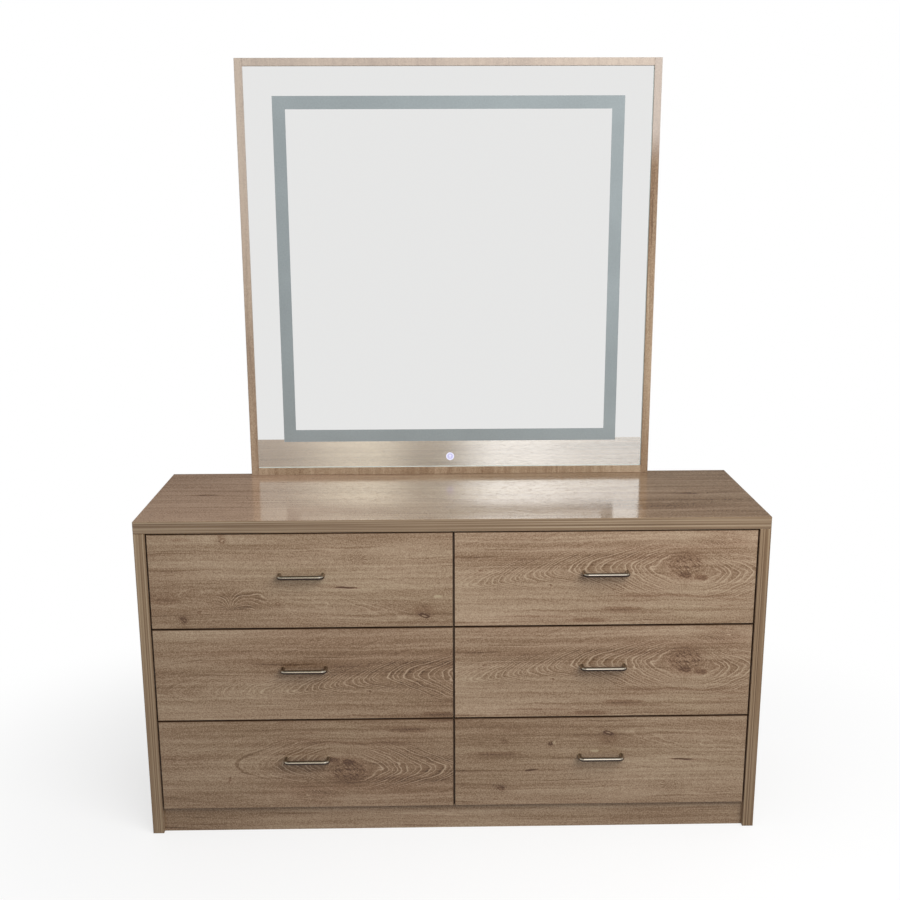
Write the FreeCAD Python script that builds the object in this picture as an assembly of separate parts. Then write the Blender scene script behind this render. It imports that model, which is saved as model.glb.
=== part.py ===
"""Dresser with six drawers and a lit mirror, as its separate boards, runners, pulls and mirror pieces.

Millimetres. X runs across the width, -Y is the front, +Z is up, and the floor is z = 0. The origin is on the
floor under the middle of the whole dresser, pulls and mirror posts included.
"""
import FreeCAD, Part
import math
import os

Vec = FreeCAD.Vector
ALONG_X = Vec(1, 0, 0)
ALONG_Y = Vec(0, 1, 0)
ALONG_Z = Vec(0, 0, 1)
FULL_TURN = 360.0
MITRED = 1                      # corner style of a swept rod
SAME_PLANE = 0.01               # corners nearer than this to a plane lie on it

# Case
case_width = 1400.0
case_depth = 420.0
case_height = 755.0
top_thickness = 28.0
side_thickness = 25.0
board = 16.0                    # inner boards, plinth and drawer fronts
hardboard = 3.0                 # back panels and drawer bottoms
back_rebate = 8.0               # how far each back panel laps into its side panel
sheet_clearance = 0.2           # round hardboard in its rebate or groove
plinth_height = 60.0
plinth_recess = 11.5            # plinth face behind the side panels' front edges
rear_plinth_inset = 50.0
rail_clearance = 6.0            # from the top drawer boxes up to the rear rails
back_seam = 1.0                 # between the two back panels, behind the divider
edge_break = 0.8                # eased arris of every edged board
dowel_diameter = 8.0
dowel_length = 30.0
dowel_bite = 10.0               # dowel length in the board that is crossed; the rest is in the other's end
dowel_flat_count = 6
dowel_front_edge = 50.0         # dowels from the front edges of the boards that they join
dowel_rear_edge = 80.0

# Drawers
rows = ("top", "middle", "bottom")
columns = {"left": -1, "right": 1}
front_gap = 3.0                 # between fronts, and from front to side panel
gap_under_top = 2.0
gap_over_plinth = 2.0
front_recess = 0.5              # front faces behind the side panels' front edges
closing_gap = 1.5               # from a closed front to the board edges behind it
drawer_board = 12.0
drawer_side_height = 150.0
drawer_side_lift = 20.0         # drawer sides above the lower edge of their front
bottom_lift = 10.0              # hardboard above the lower edge of the drawer sides
groove_depth = 6.0
groove_clearance = 0.5

# Full-extension ball-bearing runners
runner_length = 350.0
runner_height = 45.0
runner_width = 12.7             # from case board to drawer side
case_member_depth = 10.2
runner_sheet = 1.2
running_clearance = 0.35
ball_diameter = 2.4
ball_cage_length = 260.0
runner_bumper_length = 6.0
runner_bumper_height = 24.0

# Pulls
pull_centres = 96.0             # between the two screws
pull_rod = 10.0                 # diameter of the bent rod
pull_reach = 25.0               # from the drawer front to the outside of the grip
pull_bend = 8.0                 # centreline radius of the bends
bend_chords = 2                 # straight steps that each bend is made of
pull_below_front_top = 95.0
screw_diameter = 4.0
screw_head_diameter = 8.0
screw_head_height = 2.5
screw_hole_clearance = 0.25     # radial, where a screw passes through a board
screw_flat_count = 6

# Mirror
mirror_width = 1000.0
mirror_height = 1000.0
mirror_depth = 28.0
mirror_overlap = 18.5           # mirror face in front of the top's back edge
frame_width = 18.0
frame_rebate = 6.0              # lap of the frame over the glass
glass_recess = 5.0
glass_thickness = 4.0
glass_clearance = 0.5
mirror_back_thickness = 9.0
band_inset = 66.5               # frosted band from the visible edge of the glass
band_width = 30.0
light_strip_width = 10.0
light_strip_thickness = 2.0
light_strip_gap = 1.0
pad_size = 30.0
pad_rows = 3
touch_height = 26.5             # switch centre above the visible lower edge of the glass
touch_width = 40.0
touch_body_height = 22.0
touch_depth = 5.0
driver_width = 160.0
driver_height = 42.0
driver_depth = 16.0
driver_edge = 2.0
driver_above_top = 40.0
inlet_diameter = 5.5
inlet_collar_diameter = 11.0
inlet_collar_length = 3.0
inlet_depth = 9.0
lead_hole_diameter = 12.0

# Posts that hold the mirror
post_width = 70.0
post_thickness = 18.0
post_spacing = 660.0
post_below_top = 300.0
post_above_top = 600.0
post_bevel = 8.0
case_screw_bite = 14.0          # screw length inside the rear rail
mirror_screw_bite = 8.0         # and inside the mirror's back board
mirror_screw_height = 500.0     # upper screw above the top

# Worked out from the sizes above
half_width = case_width / 2
inner_half = half_width - side_thickness
under_top = case_height - top_thickness
front_reach = pull_reach - front_recess
post_step = mirror_depth - mirror_overlap
post_reach = post_step + post_thickness
back_reach = post_reach + screw_head_height
case_front = -(case_depth + back_reach - front_reach) / 2
case_back = case_front + case_depth
back_panel_front = case_back - hardboard
front_face = case_front + front_recess
front_back = front_face + board
board_front = front_back + closing_gap
plinth_front_face = case_front + plinth_recess
rear_plinth_face = case_back - rear_plinth_inset - board
front_height = (
    under_top - gap_under_top - gap_over_plinth - plinth_height - (len(rows) - 1) * front_gap
) / len(rows)
front_width = inner_half - front_gap - front_gap / 2
bay_width = inner_half - board / 2
drawer_width = bay_width - 2 * runner_width
top_box_height = under_top - gap_under_top - front_height + drawer_side_lift + drawer_side_height
rear_rail_height = under_top - top_box_height - rail_clearance
mirror_front = case_back - mirror_overlap
glass_front = mirror_front + glass_recess
glass_back = glass_front + glass_thickness
mirror_back = mirror_front + mirror_depth
mirror_board_front = mirror_back - mirror_back_thickness
mirror_half = mirror_width / 2
mirror_top = case_height + mirror_height
glass_half = mirror_half - frame_width + frame_rebate - glass_clearance
glass_bottom = case_height + frame_width - frame_rebate + glass_clearance
glass_top = mirror_top - frame_width + frame_rebate - glass_clearance


def block(x, y, z):
    """A box between the low and high ends given for each axis."""
    corner = Vec(x[0], y[0], z[0])
    return Part.makeBox(x[1] - x[0], y[1] - y[0], z[1] - z[0], corner)


def centred(middle, size):
    """The low and high ends of a span of a given size about its middle."""
    return middle - size / 2, middle + size / 2


def eased(shape, on_face):
    """The board with the arrises that lie on the chosen outer face broken."""
    arrises = [edge for edge in shape.Edges if all(on_face(vertex) for vertex in edge.Vertexes)]
    return shape.makeChamfer(edge_break, arrises)


def eased_front(shape):
    """The board with the arrises of its foremost face broken."""
    foremost = shape.BoundBox.YMin
    return eased(shape, lambda vertex: abs(vertex.Y - foremost) < SAME_PLANE)


def prism(points, along):
    """A closed outline of 3-D points carried along a vector."""
    outline = Part.makePolygon([Vec(*point) for point in points + points[:1]])
    return Part.Face(outline).extrude(along)


def flatted_rod(diameter, flat_count, start, along):
    """A rod drawn with flats for its round, from its start along a vector."""
    across = ALONG_X if along.x == 0 else ALONG_Y
    spoke = across * (diameter / 2)
    turn = FreeCAD.Rotation(along, FULL_TURN / flat_count)
    corners = []
    for _ in range(flat_count):
        corners.append(start + spoke)
        spoke = turn.multVec(spoke)
    return prism(corners, along)


def screw(tip, under_head):
    """A screw along Y with its head behind; no thread is drawn."""
    shank = flatted_rod(screw_diameter, screw_flat_count, tip, under_head - tip)
    head = flatted_rod(screw_head_diameter, screw_flat_count, under_head, ALONG_Y * screw_head_height)
    return shank.fuse(head)


def dowel(joint, into):
    """A dowel through a point where one board's end meets another's face, pointing into that face."""
    start = joint - into * (dowel_length - dowel_bite)
    return flatted_rod(dowel_diameter, dowel_flat_count, start, into * dowel_length)


def save(name, solids):
    """Write one node, made of one solid or of several separate ones."""
    shape = solids[0] if len(solids) == 1 else Part.makeCompound(solids)
    shape.exportStep("parts/" + name + ".step")


# Case boards

def case_dowels():
    """The dowels that join sides and divider to the top, and the inner boards to the sides."""
    depths = (board_front + dowel_front_edge, back_panel_front - dowel_rear_edge)
    end_middle = half_width - side_thickness / 2
    joints = [(Vec(x, y, under_top), ALONG_Z) for x in (-end_middle, 0, end_middle) for y in depths]
    joints += [(Vec(0, y, plinth_height + board), -ALONG_Z) for y in depths]
    inner_places = [(y, plinth_height + board / 2) for y in depths]
    for plinth_face in (plinth_front_face, rear_plinth_face):
        inner_places.append((plinth_face + board / 2, plinth_height / 2))
    inner_places.append((back_panel_front - board / 2, under_top - rear_rail_height / 2))
    for side in (-1, 1):
        joints += [(Vec(side * inner_half, y, z), ALONG_X * side) for y, z in inner_places]
    return [dowel(*joint) for joint in joints]


def top_panel(dowels):
    """The thick top: its outer arrises are broken above and below."""
    panel = block((-half_width, half_width), (case_front, case_back), (under_top, case_height))
    return eased(panel, lambda vertex: True).cut(dowels)


def side_panel(side, dowels):
    """A full-height side, rebated along its back edge for its back panel."""
    x = sorted((side * half_width, side * inner_half))
    panel = block(x, (case_front, case_back), (0, under_top))
    panel = eased_front(panel)
    rebate_x = sorted((side * inner_half, side * (inner_half + back_rebate)))
    rebate = block(rebate_x, (back_panel_front - sheet_clearance, case_back), (plinth_height, under_top))
    return panel.cut([rebate] + dowels)


def centre_divider(dowels):
    """The upright board between the two stacks of drawers."""
    low = plinth_height + board
    return block(centred(0, board), (board_front, back_panel_front), (low, under_top)).cut(dowels)


def bottom_panel(dowels):
    """The board that the divider stands on, over the plinth."""
    z = (plinth_height, plinth_height + board)
    return block((-inner_half, inner_half), (board_front, back_panel_front), z).cut(dowels)


def plinth_board(front, dowels):
    """A board on edge under the bottom panel, from side to side."""
    return block((-inner_half, inner_half), (front, front + board), (0, plinth_height)).cut(dowels)


def plinth_brace():
    """The short board that ties the two plinth boards under the divider."""
    return block(centred(0, board), (plinth_front_face + board, rear_plinth_face), (0, plinth_height))


def back_panel(side):
    """One of the two hardboard backs, from the divider into the side panel's rebate."""
    lap = inner_half + back_rebate - sheet_clearance
    x = sorted((side * back_seam / 2, side * lap))
    return block(x, (back_panel_front, case_back), (plinth_height, under_top))


def post_centre(side):
    """The x of a mirror post's middle."""
    return side * post_spacing / 2


def rear_rail(side):
    """The board over the back of a top drawer that stiffens the top and takes the post's screw."""
    x = sorted((side * board / 2, side * inner_half))
    y = (back_panel_front - board, back_panel_front)
    return block(x, y, (under_top - rear_rail_height, under_top))


# Runners: each section is drawn in u, out from the case board, and v, up from the runner's middle

case_half_height = runner_height / 2
mid_half_height = case_half_height - runner_sheet - ball_diameter
drawer_half_height = mid_half_height - runner_sheet - ball_diameter
mid_start = runner_sheet + running_clearance
mid_end = case_member_depth - runner_sheet - running_clearance
drawer_start = mid_start + runner_sheet + running_clearance


def channel_section(start, end, half_height, lip_tip):
    """Upper half of a rolled channel, open away from the case board, its lips turned in over the balls."""
    sheet = runner_sheet
    return [
        (start, 0),
        (start, half_height - sheet),
        (start + sheet, half_height),
        (end - sheet, half_height),
        (end, half_height - sheet),
        (end, lip_tip),
        (end - sheet, lip_tip),
        (end - sheet, half_height - sheet),
        (start + sheet, half_height - sheet),
        (start + sheet, 0),
    ]


def top_hat_section():
    """Upper half of the drawer member: its flanges are hooked behind the mid member's lips."""
    sheet = runner_sheet
    half_height = drawer_half_height
    hook = mid_half_height - sheet - running_clearance
    return [
        (runner_width, 0),
        (runner_width, half_height - sheet),
        (runner_width - sheet, half_height),
        (drawer_start + sheet, half_height),
        (drawer_start + sheet, hook),
        (drawer_start, hook),
        (drawer_start, half_height - sheet),
        (runner_width - sheet, half_height - sheet),
        (runner_width - sheet, 0),
    ]


def runner_member(upper_half, wall, inward, middle, length, start):
    """A section mirrored about its middle and carried back from its front end."""
    lower_half = [(u, -v) for u, v in upper_half[-2:0:-1]]
    outline = [(wall + inward * u, start, middle + v) for u, v in upper_half + lower_half]
    return prism(outline, ALONG_Y * length)


def runner_walls(side):
    """The two case faces beside a drawer: each face's x and the way from it to the drawer."""
    return [(side * inner_half, -side), (side * board / 2, side)]


def case_member(wall, inward, middle):
    """The channel screwed to the case, with the rubber stop at its back end."""
    section = channel_section(0, case_member_depth, case_half_height, mid_half_height + running_clearance)
    channel = runner_member(section, wall, inward, middle, runner_length, board_front)
    x = sorted((wall + inward * runner_sheet, wall + inward * (case_member_depth - runner_sheet)))
    stop_end = board_front + runner_length
    stop = block(x, (stop_end - runner_bumper_length, stop_end), centred(middle, runner_bumper_height))
    return channel.fuse(stop)


def mid_member(wall, inward, middle):
    """The telescoping channel and the four cages that hold its balls in their races."""
    length = runner_length - runner_bumper_length - running_clearance
    section = channel_section(mid_start, mid_end, mid_half_height, drawer_half_height + running_clearance)
    channel = runner_member(section, wall, inward, middle, length, board_front)
    outer_x = sorted((wall + inward * (mid_start + runner_sheet), wall + inward * (mid_end - runner_sheet)))
    inner_ends = (drawer_start + runner_sheet + running_clearance, mid_end - runner_sheet)
    inner_x = sorted(wall + inward * u for u in inner_ends)
    outer_v = (mid_half_height, case_half_height - runner_sheet - running_clearance)
    inner_v = (drawer_half_height + running_clearance, mid_half_height - runner_sheet)
    y = centred(board_front + length / 2, ball_cage_length)
    pieces = [channel]
    for x, span in ((outer_x, outer_v), (inner_x, inner_v)):
        for way in (1, -1):
            z = sorted(middle + way * v for v in span)
            pieces.append(block(x, y, z))
    return pieces


def drawer_member(wall, inward, middle):
    """The top-hat channel screwed to the drawer side."""
    return runner_member(top_hat_section(), wall, inward, middle, runner_length, front_back)


# Drawers

def front_low(row):
    """The height of a front's lower edge, rows counted from the top."""
    return under_top - gap_under_top - (row + 1) * front_height - row * front_gap


def side_low(row):
    """The height of the drawer sides' lower edge."""
    return front_low(row) + drawer_side_lift


def runner_middle(row):
    """The height of the runners' middle: halfway up the drawer sides."""
    return side_low(row) + drawer_side_height / 2


def drawer_middle(side):
    """The x of a stack's middle."""
    return side * (board / 2 + bay_width / 2)


def front_middle(side):
    """The x of a front's middle, which leaves equal gaps at both ends."""
    return side * (front_gap / 2 + front_width / 2)


def bottom_sheet(row, side, clearance):
    """The hardboard in its grooves, or with a clearance the room cut for it."""
    reach = groove_depth - groove_clearance + clearance
    inside = drawer_width - 2 * drawer_board
    x = centred(drawer_middle(side), inside + 2 * reach)
    y = (front_back - reach, front_back + runner_length - drawer_board + reach)
    low = side_low(row) + bottom_lift
    z = (low - clearance / 2, low + hardboard + clearance / 2)
    return block(x, y, z)


def pull_screw_places(row, side):
    """The two screw centres of a pull, on the drawer front's outer face."""
    height = front_low(row) + front_height - pull_below_front_top
    return [Vec(x, front_face, height) for x in centred(front_middle(side), pull_centres)]


def drawer_front(row, side):
    """A front: eased round its face, grooved for the bottom and drilled for its pull."""
    z = (front_low(row), front_low(row) + front_height)
    panel = eased_front(block(centred(front_middle(side), front_width), (front_face, front_back), z))
    hole = screw_diameter / 2 + screw_hole_clearance
    holes = [Part.makeCylinder(hole, board, place, ALONG_Y) for place in pull_screw_places(row, side)]
    return panel.cut([bottom_sheet(row, side, groove_clearance)] + holes)


def drawer_box(row, side):
    """Two sides and a back between them, grooved for the bottom."""
    outer = centred(drawer_middle(side), drawer_width)
    inner = centred(drawer_middle(side), drawer_width - 2 * drawer_board)
    y = (front_back, front_back + runner_length)
    z = (side_low(row), side_low(row) + drawer_side_height)
    boards = [
        block((outer[0], inner[0]), y, z),
        block((inner[1], outer[1]), y, z),
        block(inner, (y[1] - drawer_board, y[1]), z),
    ]
    groove = bottom_sheet(row, side, groove_clearance)
    return [piece.cut(groove) for piece in boards]


def bend_points(x, way, grip_y, height):
    """Steps round a quarter turn, from the leg at the given x to the grip beside it."""
    turns = [math.pi / 2 * step / bend_chords for step in range(bend_chords + 1)]
    centre = Vec(x + way * pull_bend, grip_y + pull_bend, height)
    return [centre - Vec(way * math.cos(turn), math.sin(turn), 0) * pull_bend for turn in turns]


def pull(row, side):
    """A bent round rod and its two screws, whose heads bear on the front's inner face."""
    feet = pull_screw_places(row, side)
    grip_y = front_face - pull_reach + pull_rod / 2
    left_bend = bend_points(feet[0].x, 1, grip_y, feet[0].z)
    right_bend = bend_points(feet[1].x, -1, grip_y, feet[1].z)
    path = Part.makePolygon([feet[0]] + left_bend + right_bend[::-1] + [feet[1]])
    section = Part.Wire(Part.makeCircle(pull_rod / 2, feet[0], ALONG_Y))
    rod = path.makePipeShell([section], True, False, MITRED)
    return [rod] + [screw(foot, foot + ALONG_Y * board) for foot in feet]


# Mirror

def mirror_stile(side):
    """A full-height upright of the frame, with a rebate stopped short of its ends."""
    x = sorted((side * mirror_half, side * (mirror_half - frame_width)))
    stile = eased_front(block(x, (mirror_front, mirror_back), (case_height, mirror_top)))
    stop = frame_width - frame_rebate
    rebate_x = sorted((side * (mirror_half - frame_width), side * (mirror_half - stop)))
    rebate_z = (case_height + stop, mirror_top - stop)
    return stile.cut(block(rebate_x, (glass_front, mirror_back), rebate_z))


def mirror_rail(end, inward):
    """A rail between the uprights, rebated along its inner back edge."""
    half = mirror_half - frame_width
    z = sorted((end, end + inward * frame_width))
    rail = eased_front(block((-half, half), (mirror_front, mirror_back), z))
    rebate_z = sorted((end + inward * (frame_width - frame_rebate), end + inward * frame_width))
    return rail.cut(block((-half, half), (glass_front, mirror_back), rebate_z))


def mirror_glass():
    """The glass, pressed against the frame's lip from behind."""
    return block((-glass_half, glass_half), (glass_front, glass_back), (glass_bottom, glass_top))


def mirror_back_board(screw_holes):
    """The board behind the light's cavity, drilled for the post screws and for the driver's lead."""
    panel = block((-glass_half, glass_half), (mirror_board_front, mirror_back), (glass_bottom, glass_top))
    lead_place = Vec(0, mirror_board_front, case_height + driver_above_top + driver_height / 2)
    lead_hole = Part.makeCylinder(lead_hole_diameter / 2, mirror_back_thickness, lead_place, ALONG_Y)
    return panel.cut([lead_hole] + screw_holes)


band_outer_half = mirror_half - frame_width - band_inset
band_bottom = case_height + frame_width + band_inset
band_top = mirror_top - frame_width - band_inset


def light_strips():
    """Four strips of lights on the back board, each behind the middle of the frosted band."""
    y = (mirror_board_front - light_strip_thickness, mirror_board_front)
    centre_x = band_outer_half - band_width / 2
    upright_z = (band_bottom, band_top)
    level_x = centre_x - light_strip_width / 2 - light_strip_gap
    strips = [block(centred(side * centre_x, light_strip_width), y, upright_z) for side in (-1, 1)]
    for z in (band_bottom + band_width / 2, band_top - band_width / 2):
        strips.append(block((-level_x, level_x), y, centred(z, light_strip_width)))
    return strips


def glazing_pads():
    """Foam blocks that hold the glass forward, in the margin outside the light."""
    margin = pad_size / 2 + light_strip_width
    low = glass_bottom + margin
    step = (glass_top - glass_bottom - 2 * margin) / (pad_rows - 1)
    reach = glass_half - margin
    places = [(side * reach, low + row * step) for side in (-1, 1) for row in range(pad_rows)]
    places.append((0, glass_top - margin))
    y = (glass_back, mirror_board_front)
    return [block(centred(x, pad_size), y, centred(z, pad_size)) for x, z in places]


def touch_switch():
    """The sensor stuck to the back of the glass, over the frame's lower rail."""
    middle = case_height + frame_width + touch_height
    y = (glass_back, glass_back + touch_depth)
    return block(centred(0, touch_width), y, centred(middle, touch_body_height))


def light_driver():
    """The flat supply box on the mirror's back, with a low-voltage inlet in its end."""
    low = case_height + driver_above_top
    y = (mirror_back, mirror_back + driver_depth)
    box = block(centred(0, driver_width), y, (low, low + driver_height))
    rearmost = box.BoundBox.YMax
    far_edges = [edge for edge in box.Edges if all(abs(v.Y - rearmost) < SAME_PLANE for v in edge.Vertexes)]
    box = box.makeChamfer(driver_edge, far_edges)
    end = Vec(-driver_width / 2, mirror_back + driver_depth / 2, low + driver_height / 2)
    collar = Part.makeCylinder(inlet_collar_diameter / 2, inlet_collar_length, end, -ALONG_X)
    mouth = end - ALONG_X * inlet_collar_length
    socket = Part.makeCylinder(inlet_diameter / 2, inlet_depth, mouth, ALONG_X)
    return box.fuse(collar).cut(socket)


# Posts behind the mirror

def post_screw_places(side):
    """Each screw of one post, at its tip and under its head: one bites the rear rail, one the back board."""
    x = post_centre(side)
    rear = case_back + post_reach
    ends = [
        (under_top - rear_rail_height / 2, back_panel_front - case_screw_bite),
        (case_height + mirror_screw_height, mirror_back - mirror_screw_bite),
    ]
    return [(Vec(x, tip, z), Vec(x, rear, z)) for z, tip in ends]


def mirror_post(side):
    """A straight post, thicker below the mirror, where it reaches the case's back."""
    x = post_centre(side) - post_width / 2
    rear = case_back + post_reach
    low = case_height - post_below_top
    high = case_height + post_above_top
    outline = [
        (x, case_back, low + post_bevel),
        (x, case_back + post_bevel, low),
        (x, rear, low),
        (x, rear, high - post_bevel),
        (x, rear - post_bevel, high),
        (x, mirror_back, high),
        (x, mirror_back, case_height),
        (x, case_back, case_height),
    ]
    post = prism(outline, ALONG_X * post_width)
    hole_radius = screw_diameter / 2 + screw_hole_clearance
    return post.cut([
        Part.makeCylinder(hole_radius, under_head.y - tip.y, tip, ALONG_Y)
        for tip, under_head in post_screw_places(side)
    ])


def build():
    """Make and save every node."""
    os.makedirs("parts", exist_ok=True)
    sides = columns.items()
    screws = [screw(*ends) for _, side in sides for ends in post_screw_places(side)]
    dowels = case_dowels()
    save("case_dowels", dowels)
    save("top_panel", [top_panel(dowels)])
    for name, side in sides:
        save("side_panel_" + name, [side_panel(side, dowels)])
    save("centre_divider", [centre_divider(dowels)])
    save("bottom_panel", [bottom_panel(dowels)])
    save("plinth_front", [plinth_board(plinth_front_face, dowels)])
    save("plinth_rear", [plinth_board(rear_plinth_face, dowels)])
    save("plinth_brace", [plinth_brace()])
    save("back_panels", [back_panel(side).cut(screws) for _, side in sides])
    save("rear_rails", [rear_rail(side).cut(screws + dowels) for _, side in sides])
    case_members = []
    for row, row_name in enumerate(rows):
        for column, side in sides:
            name = "_" + row_name + "_" + column
            walls = [wall + (runner_middle(row),) for wall in runner_walls(side)]
            case_members += [case_member(*wall) for wall in walls]
            save("runner_mid_members" + name, [piece for wall in walls for piece in mid_member(*wall)])
            save("runner_drawer_members" + name, [drawer_member(*wall) for wall in walls])
            save("drawer_front" + name, [drawer_front(row, side)])
            save("drawer_box" + name, drawer_box(row, side))
            save("drawer_bottom" + name, [bottom_sheet(row, side, 0)])
            save("handle" + name, pull(row, side))
    save("runner_case_members", case_members)
    save("mirror_frame_left", [mirror_stile(-1)])
    save("mirror_frame_right", [mirror_stile(1)])
    save("mirror_frame_top", [mirror_rail(mirror_top, -1)])
    save("mirror_frame_bottom", [mirror_rail(case_height, 1)])
    save("mirror_glass", [mirror_glass()])
    save("mirror_back_board", [mirror_back_board(screws)])
    save("light_strips", light_strips())
    save("glazing_pads", glazing_pads())
    save("touch_switch", [touch_switch()])
    save("light_driver", [light_driver()])
    save("mirror_posts", [mirror_post(side) for _, side in sides])
    save("post_screws", screws)


build()
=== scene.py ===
"""Dresser with a lit mirror: finishes, pulls, small hardware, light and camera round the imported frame.

Metres. X runs across the width, -Y is the front, +Z is up, and the floor is z = 0.
"""
import math

import bpy
import numpy as np
from bpy.props import FloatProperty, FloatVectorProperty, IntProperty, PointerProperty
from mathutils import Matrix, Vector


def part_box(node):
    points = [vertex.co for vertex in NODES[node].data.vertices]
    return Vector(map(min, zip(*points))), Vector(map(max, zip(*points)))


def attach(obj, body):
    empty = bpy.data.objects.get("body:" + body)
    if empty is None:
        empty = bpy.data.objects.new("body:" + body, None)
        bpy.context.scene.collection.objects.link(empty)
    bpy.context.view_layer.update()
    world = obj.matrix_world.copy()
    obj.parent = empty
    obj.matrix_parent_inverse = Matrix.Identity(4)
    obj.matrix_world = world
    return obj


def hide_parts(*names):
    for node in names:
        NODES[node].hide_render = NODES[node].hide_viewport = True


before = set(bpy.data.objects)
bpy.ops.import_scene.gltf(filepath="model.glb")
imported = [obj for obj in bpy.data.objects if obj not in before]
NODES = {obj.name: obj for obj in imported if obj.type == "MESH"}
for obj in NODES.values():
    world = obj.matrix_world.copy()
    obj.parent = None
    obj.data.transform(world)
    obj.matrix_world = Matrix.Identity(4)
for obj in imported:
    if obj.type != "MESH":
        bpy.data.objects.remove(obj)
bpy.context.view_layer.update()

bl_info = {
    "name": "Dresser with mirror",
    "version": (1, 0, 0),
    "blender": (4, 5, 0),
    "location": "View3D > Sidebar > Dresser",
    "description": "Finishes and small hardware of a six-drawer dresser with a lit mirror",
    "category": "Object",
}

ROWS = ("top", "middle", "bottom")
COLUMNS = {"left": -1, "right": 1}
DRAWERS = [row + "_" + column for row in ROWS for column in COLUMNS]
MM = 0.001


def middle(node):
    """The centre of a node's box."""
    low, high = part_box(node)
    return (low + high) / 2


# ---------------------------------------------------------------- settings


class OakSettings(bpy.types.PropertyGroup):
    """Colours and grain of the printed oak boards."""

    dark: FloatVectorProperty(
        name="Dark grain", description="Colour of knots and the darkest streaks",
        subtype="COLOR", default=(0.062, 0.028, 0.011), min=0, max=1)
    deep: FloatVectorProperty(
        name="Deep grain", description="Colour between the rings",
        subtype="COLOR", default=(0.190, 0.113, 0.061), min=0, max=1)
    body: FloatVectorProperty(
        name="Board", description="Main colour of the boards",
        subtype="COLOR", default=(0.297, 0.203, 0.128), min=0, max=1)
    pale: FloatVectorProperty(
        name="Pale grain", description="Colour of the ring lines",
        subtype="COLOR", default=(0.435, 0.325, 0.222), min=0, max=1)
    ring: FloatProperty(
        name="Ring width", description="Distance between two year rings",
        subtype="DISTANCE", unit="LENGTH", default=0.0043, min=0.001, max=0.02)
    satin: FloatProperty(
        name="Roughness", description="Roughness of the boards' faces",
        default=0.42, min=0.05, max=1)
    top_satin: FloatProperty(
        name="Top's roughness", description="Roughness of the smoother top",
        default=0.11, min=0.03, max=1)


class PullSettings(bpy.types.PropertyGroup):
    """Bent rod pulls and their screws."""

    rod: FloatProperty(
        name="Rod", description="Diameter of the bent rod",
        subtype="DISTANCE", unit="LENGTH", default=0.010, min=0.004, max=0.02)
    bend: FloatProperty(
        name="Bend", description="Centreline radius of the bends",
        subtype="DISTANCE", unit="LENGTH", default=0.008, min=0.004, max=0.03)
    centres: FloatProperty(
        name="Screw centres", description="Distance between the two screws",
        subtype="DISTANCE", unit="LENGTH", default=0.096, min=0.05, max=0.4)
    reach: FloatProperty(
        name="Reach", description="From the drawer front to the outside of the grip",
        subtype="DISTANCE", unit="LENGTH", default=0.025, min=0.015, max=0.06)
    sides: IntProperty(
        name="Facets", description="Facets round the rod", default=40, min=12, max=96)
    nickel: FloatVectorProperty(
        name="Nickel", description="Colour of the satin nickel",
        subtype="COLOR", default=(0.44, 0.39, 0.33), min=0, max=1)
    # Dark colour painted as shade on the pulls' underside and along their top, leaving a bright band between.
    painted_shade: FloatVectorProperty(
        name="Tarnish", description="Colour of the nickel where it isn't rubbed bright",
        subtype="COLOR", default=(0.045, 0.031, 0.025), min=0, max=1)


class MirrorSettings(bpy.types.PropertyGroup):
    """Glass, frosted band and touch mark."""

    band_inset: FloatProperty(
        name="Band inset", description="Frosted band from the visible edge of the glass",
        subtype="DISTANCE", unit="LENGTH", default=0.0665, min=0.01, max=0.3)
    band_width: FloatProperty(
        name="Band width", description="Width of the frosted band",
        subtype="DISTANCE", unit="LENGTH", default=0.030, min=0.005, max=0.1)
    touch_height: FloatProperty(
        name="Touch mark height", description="Mark's centre above the visible lower edge",
        subtype="DISTANCE", unit="LENGTH", default=0.0265, min=0.01, max=0.2)
    touch_radius: FloatProperty(
        name="Touch mark radius", description="Outer radius of the lit ring",
        subtype="DISTANCE", unit="LENGTH", default=0.0100, min=0.004, max=0.04)
    silver: FloatVectorProperty(
        name="Silver", description="Tint of the mirror",
        subtype="COLOR", default=(0.795, 0.795, 0.79), min=0, max=1)
    frost: FloatVectorProperty(
        name="Frosted glass", description="Colour of the unlit frosted band",
        subtype="COLOR", default=(0.273, 0.309, 0.320), min=0, max=1)
    glow: FloatVectorProperty(
        name="Touch light", description="Colour of the lit mark",
        subtype="COLOR", default=(0.58, 0.56, 0.95), min=0, max=1)


class HardwareSettings(bpy.types.PropertyGroup):
    """Screws, cams, pins and balls."""

    screw_head: FloatProperty(
        name="Screw head", description="Diameter of the screw heads",
        subtype="DISTANCE", unit="LENGTH", default=0.008, min=0.004, max=0.02)
    screw_shank: FloatProperty(
        name="Screw shank", description="Diameter of the screws",
        subtype="DISTANCE", unit="LENGTH", default=0.004, min=0.002, max=0.01)
    head_height: FloatProperty(
        name="Head height", description="Height of the screw heads",
        subtype="DISTANCE", unit="LENGTH", default=0.0025, min=0.001, max=0.006)
    cam: FloatProperty(
        name="Cam", description="Diameter of the cam fasteners",
        subtype="DISTANCE", unit="LENGTH", default=0.015, min=0.008, max=0.03)
    pin: FloatProperty(
        name="Back pin", description="Head diameter of the pins that hold the back",
        subtype="DISTANCE", unit="LENGTH", default=0.0035, min=0.002, max=0.01)
    pin_step: FloatProperty(
        name="Pin step", description="Largest distance between two pins",
        subtype="DISTANCE", unit="LENGTH", default=0.11, min=0.03, max=0.3)
    ball: FloatProperty(
        name="Ball", description="Diameter of the runners' balls",
        subtype="DISTANCE", unit="LENGTH", default=0.0023, min=0.001, max=0.01)


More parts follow.
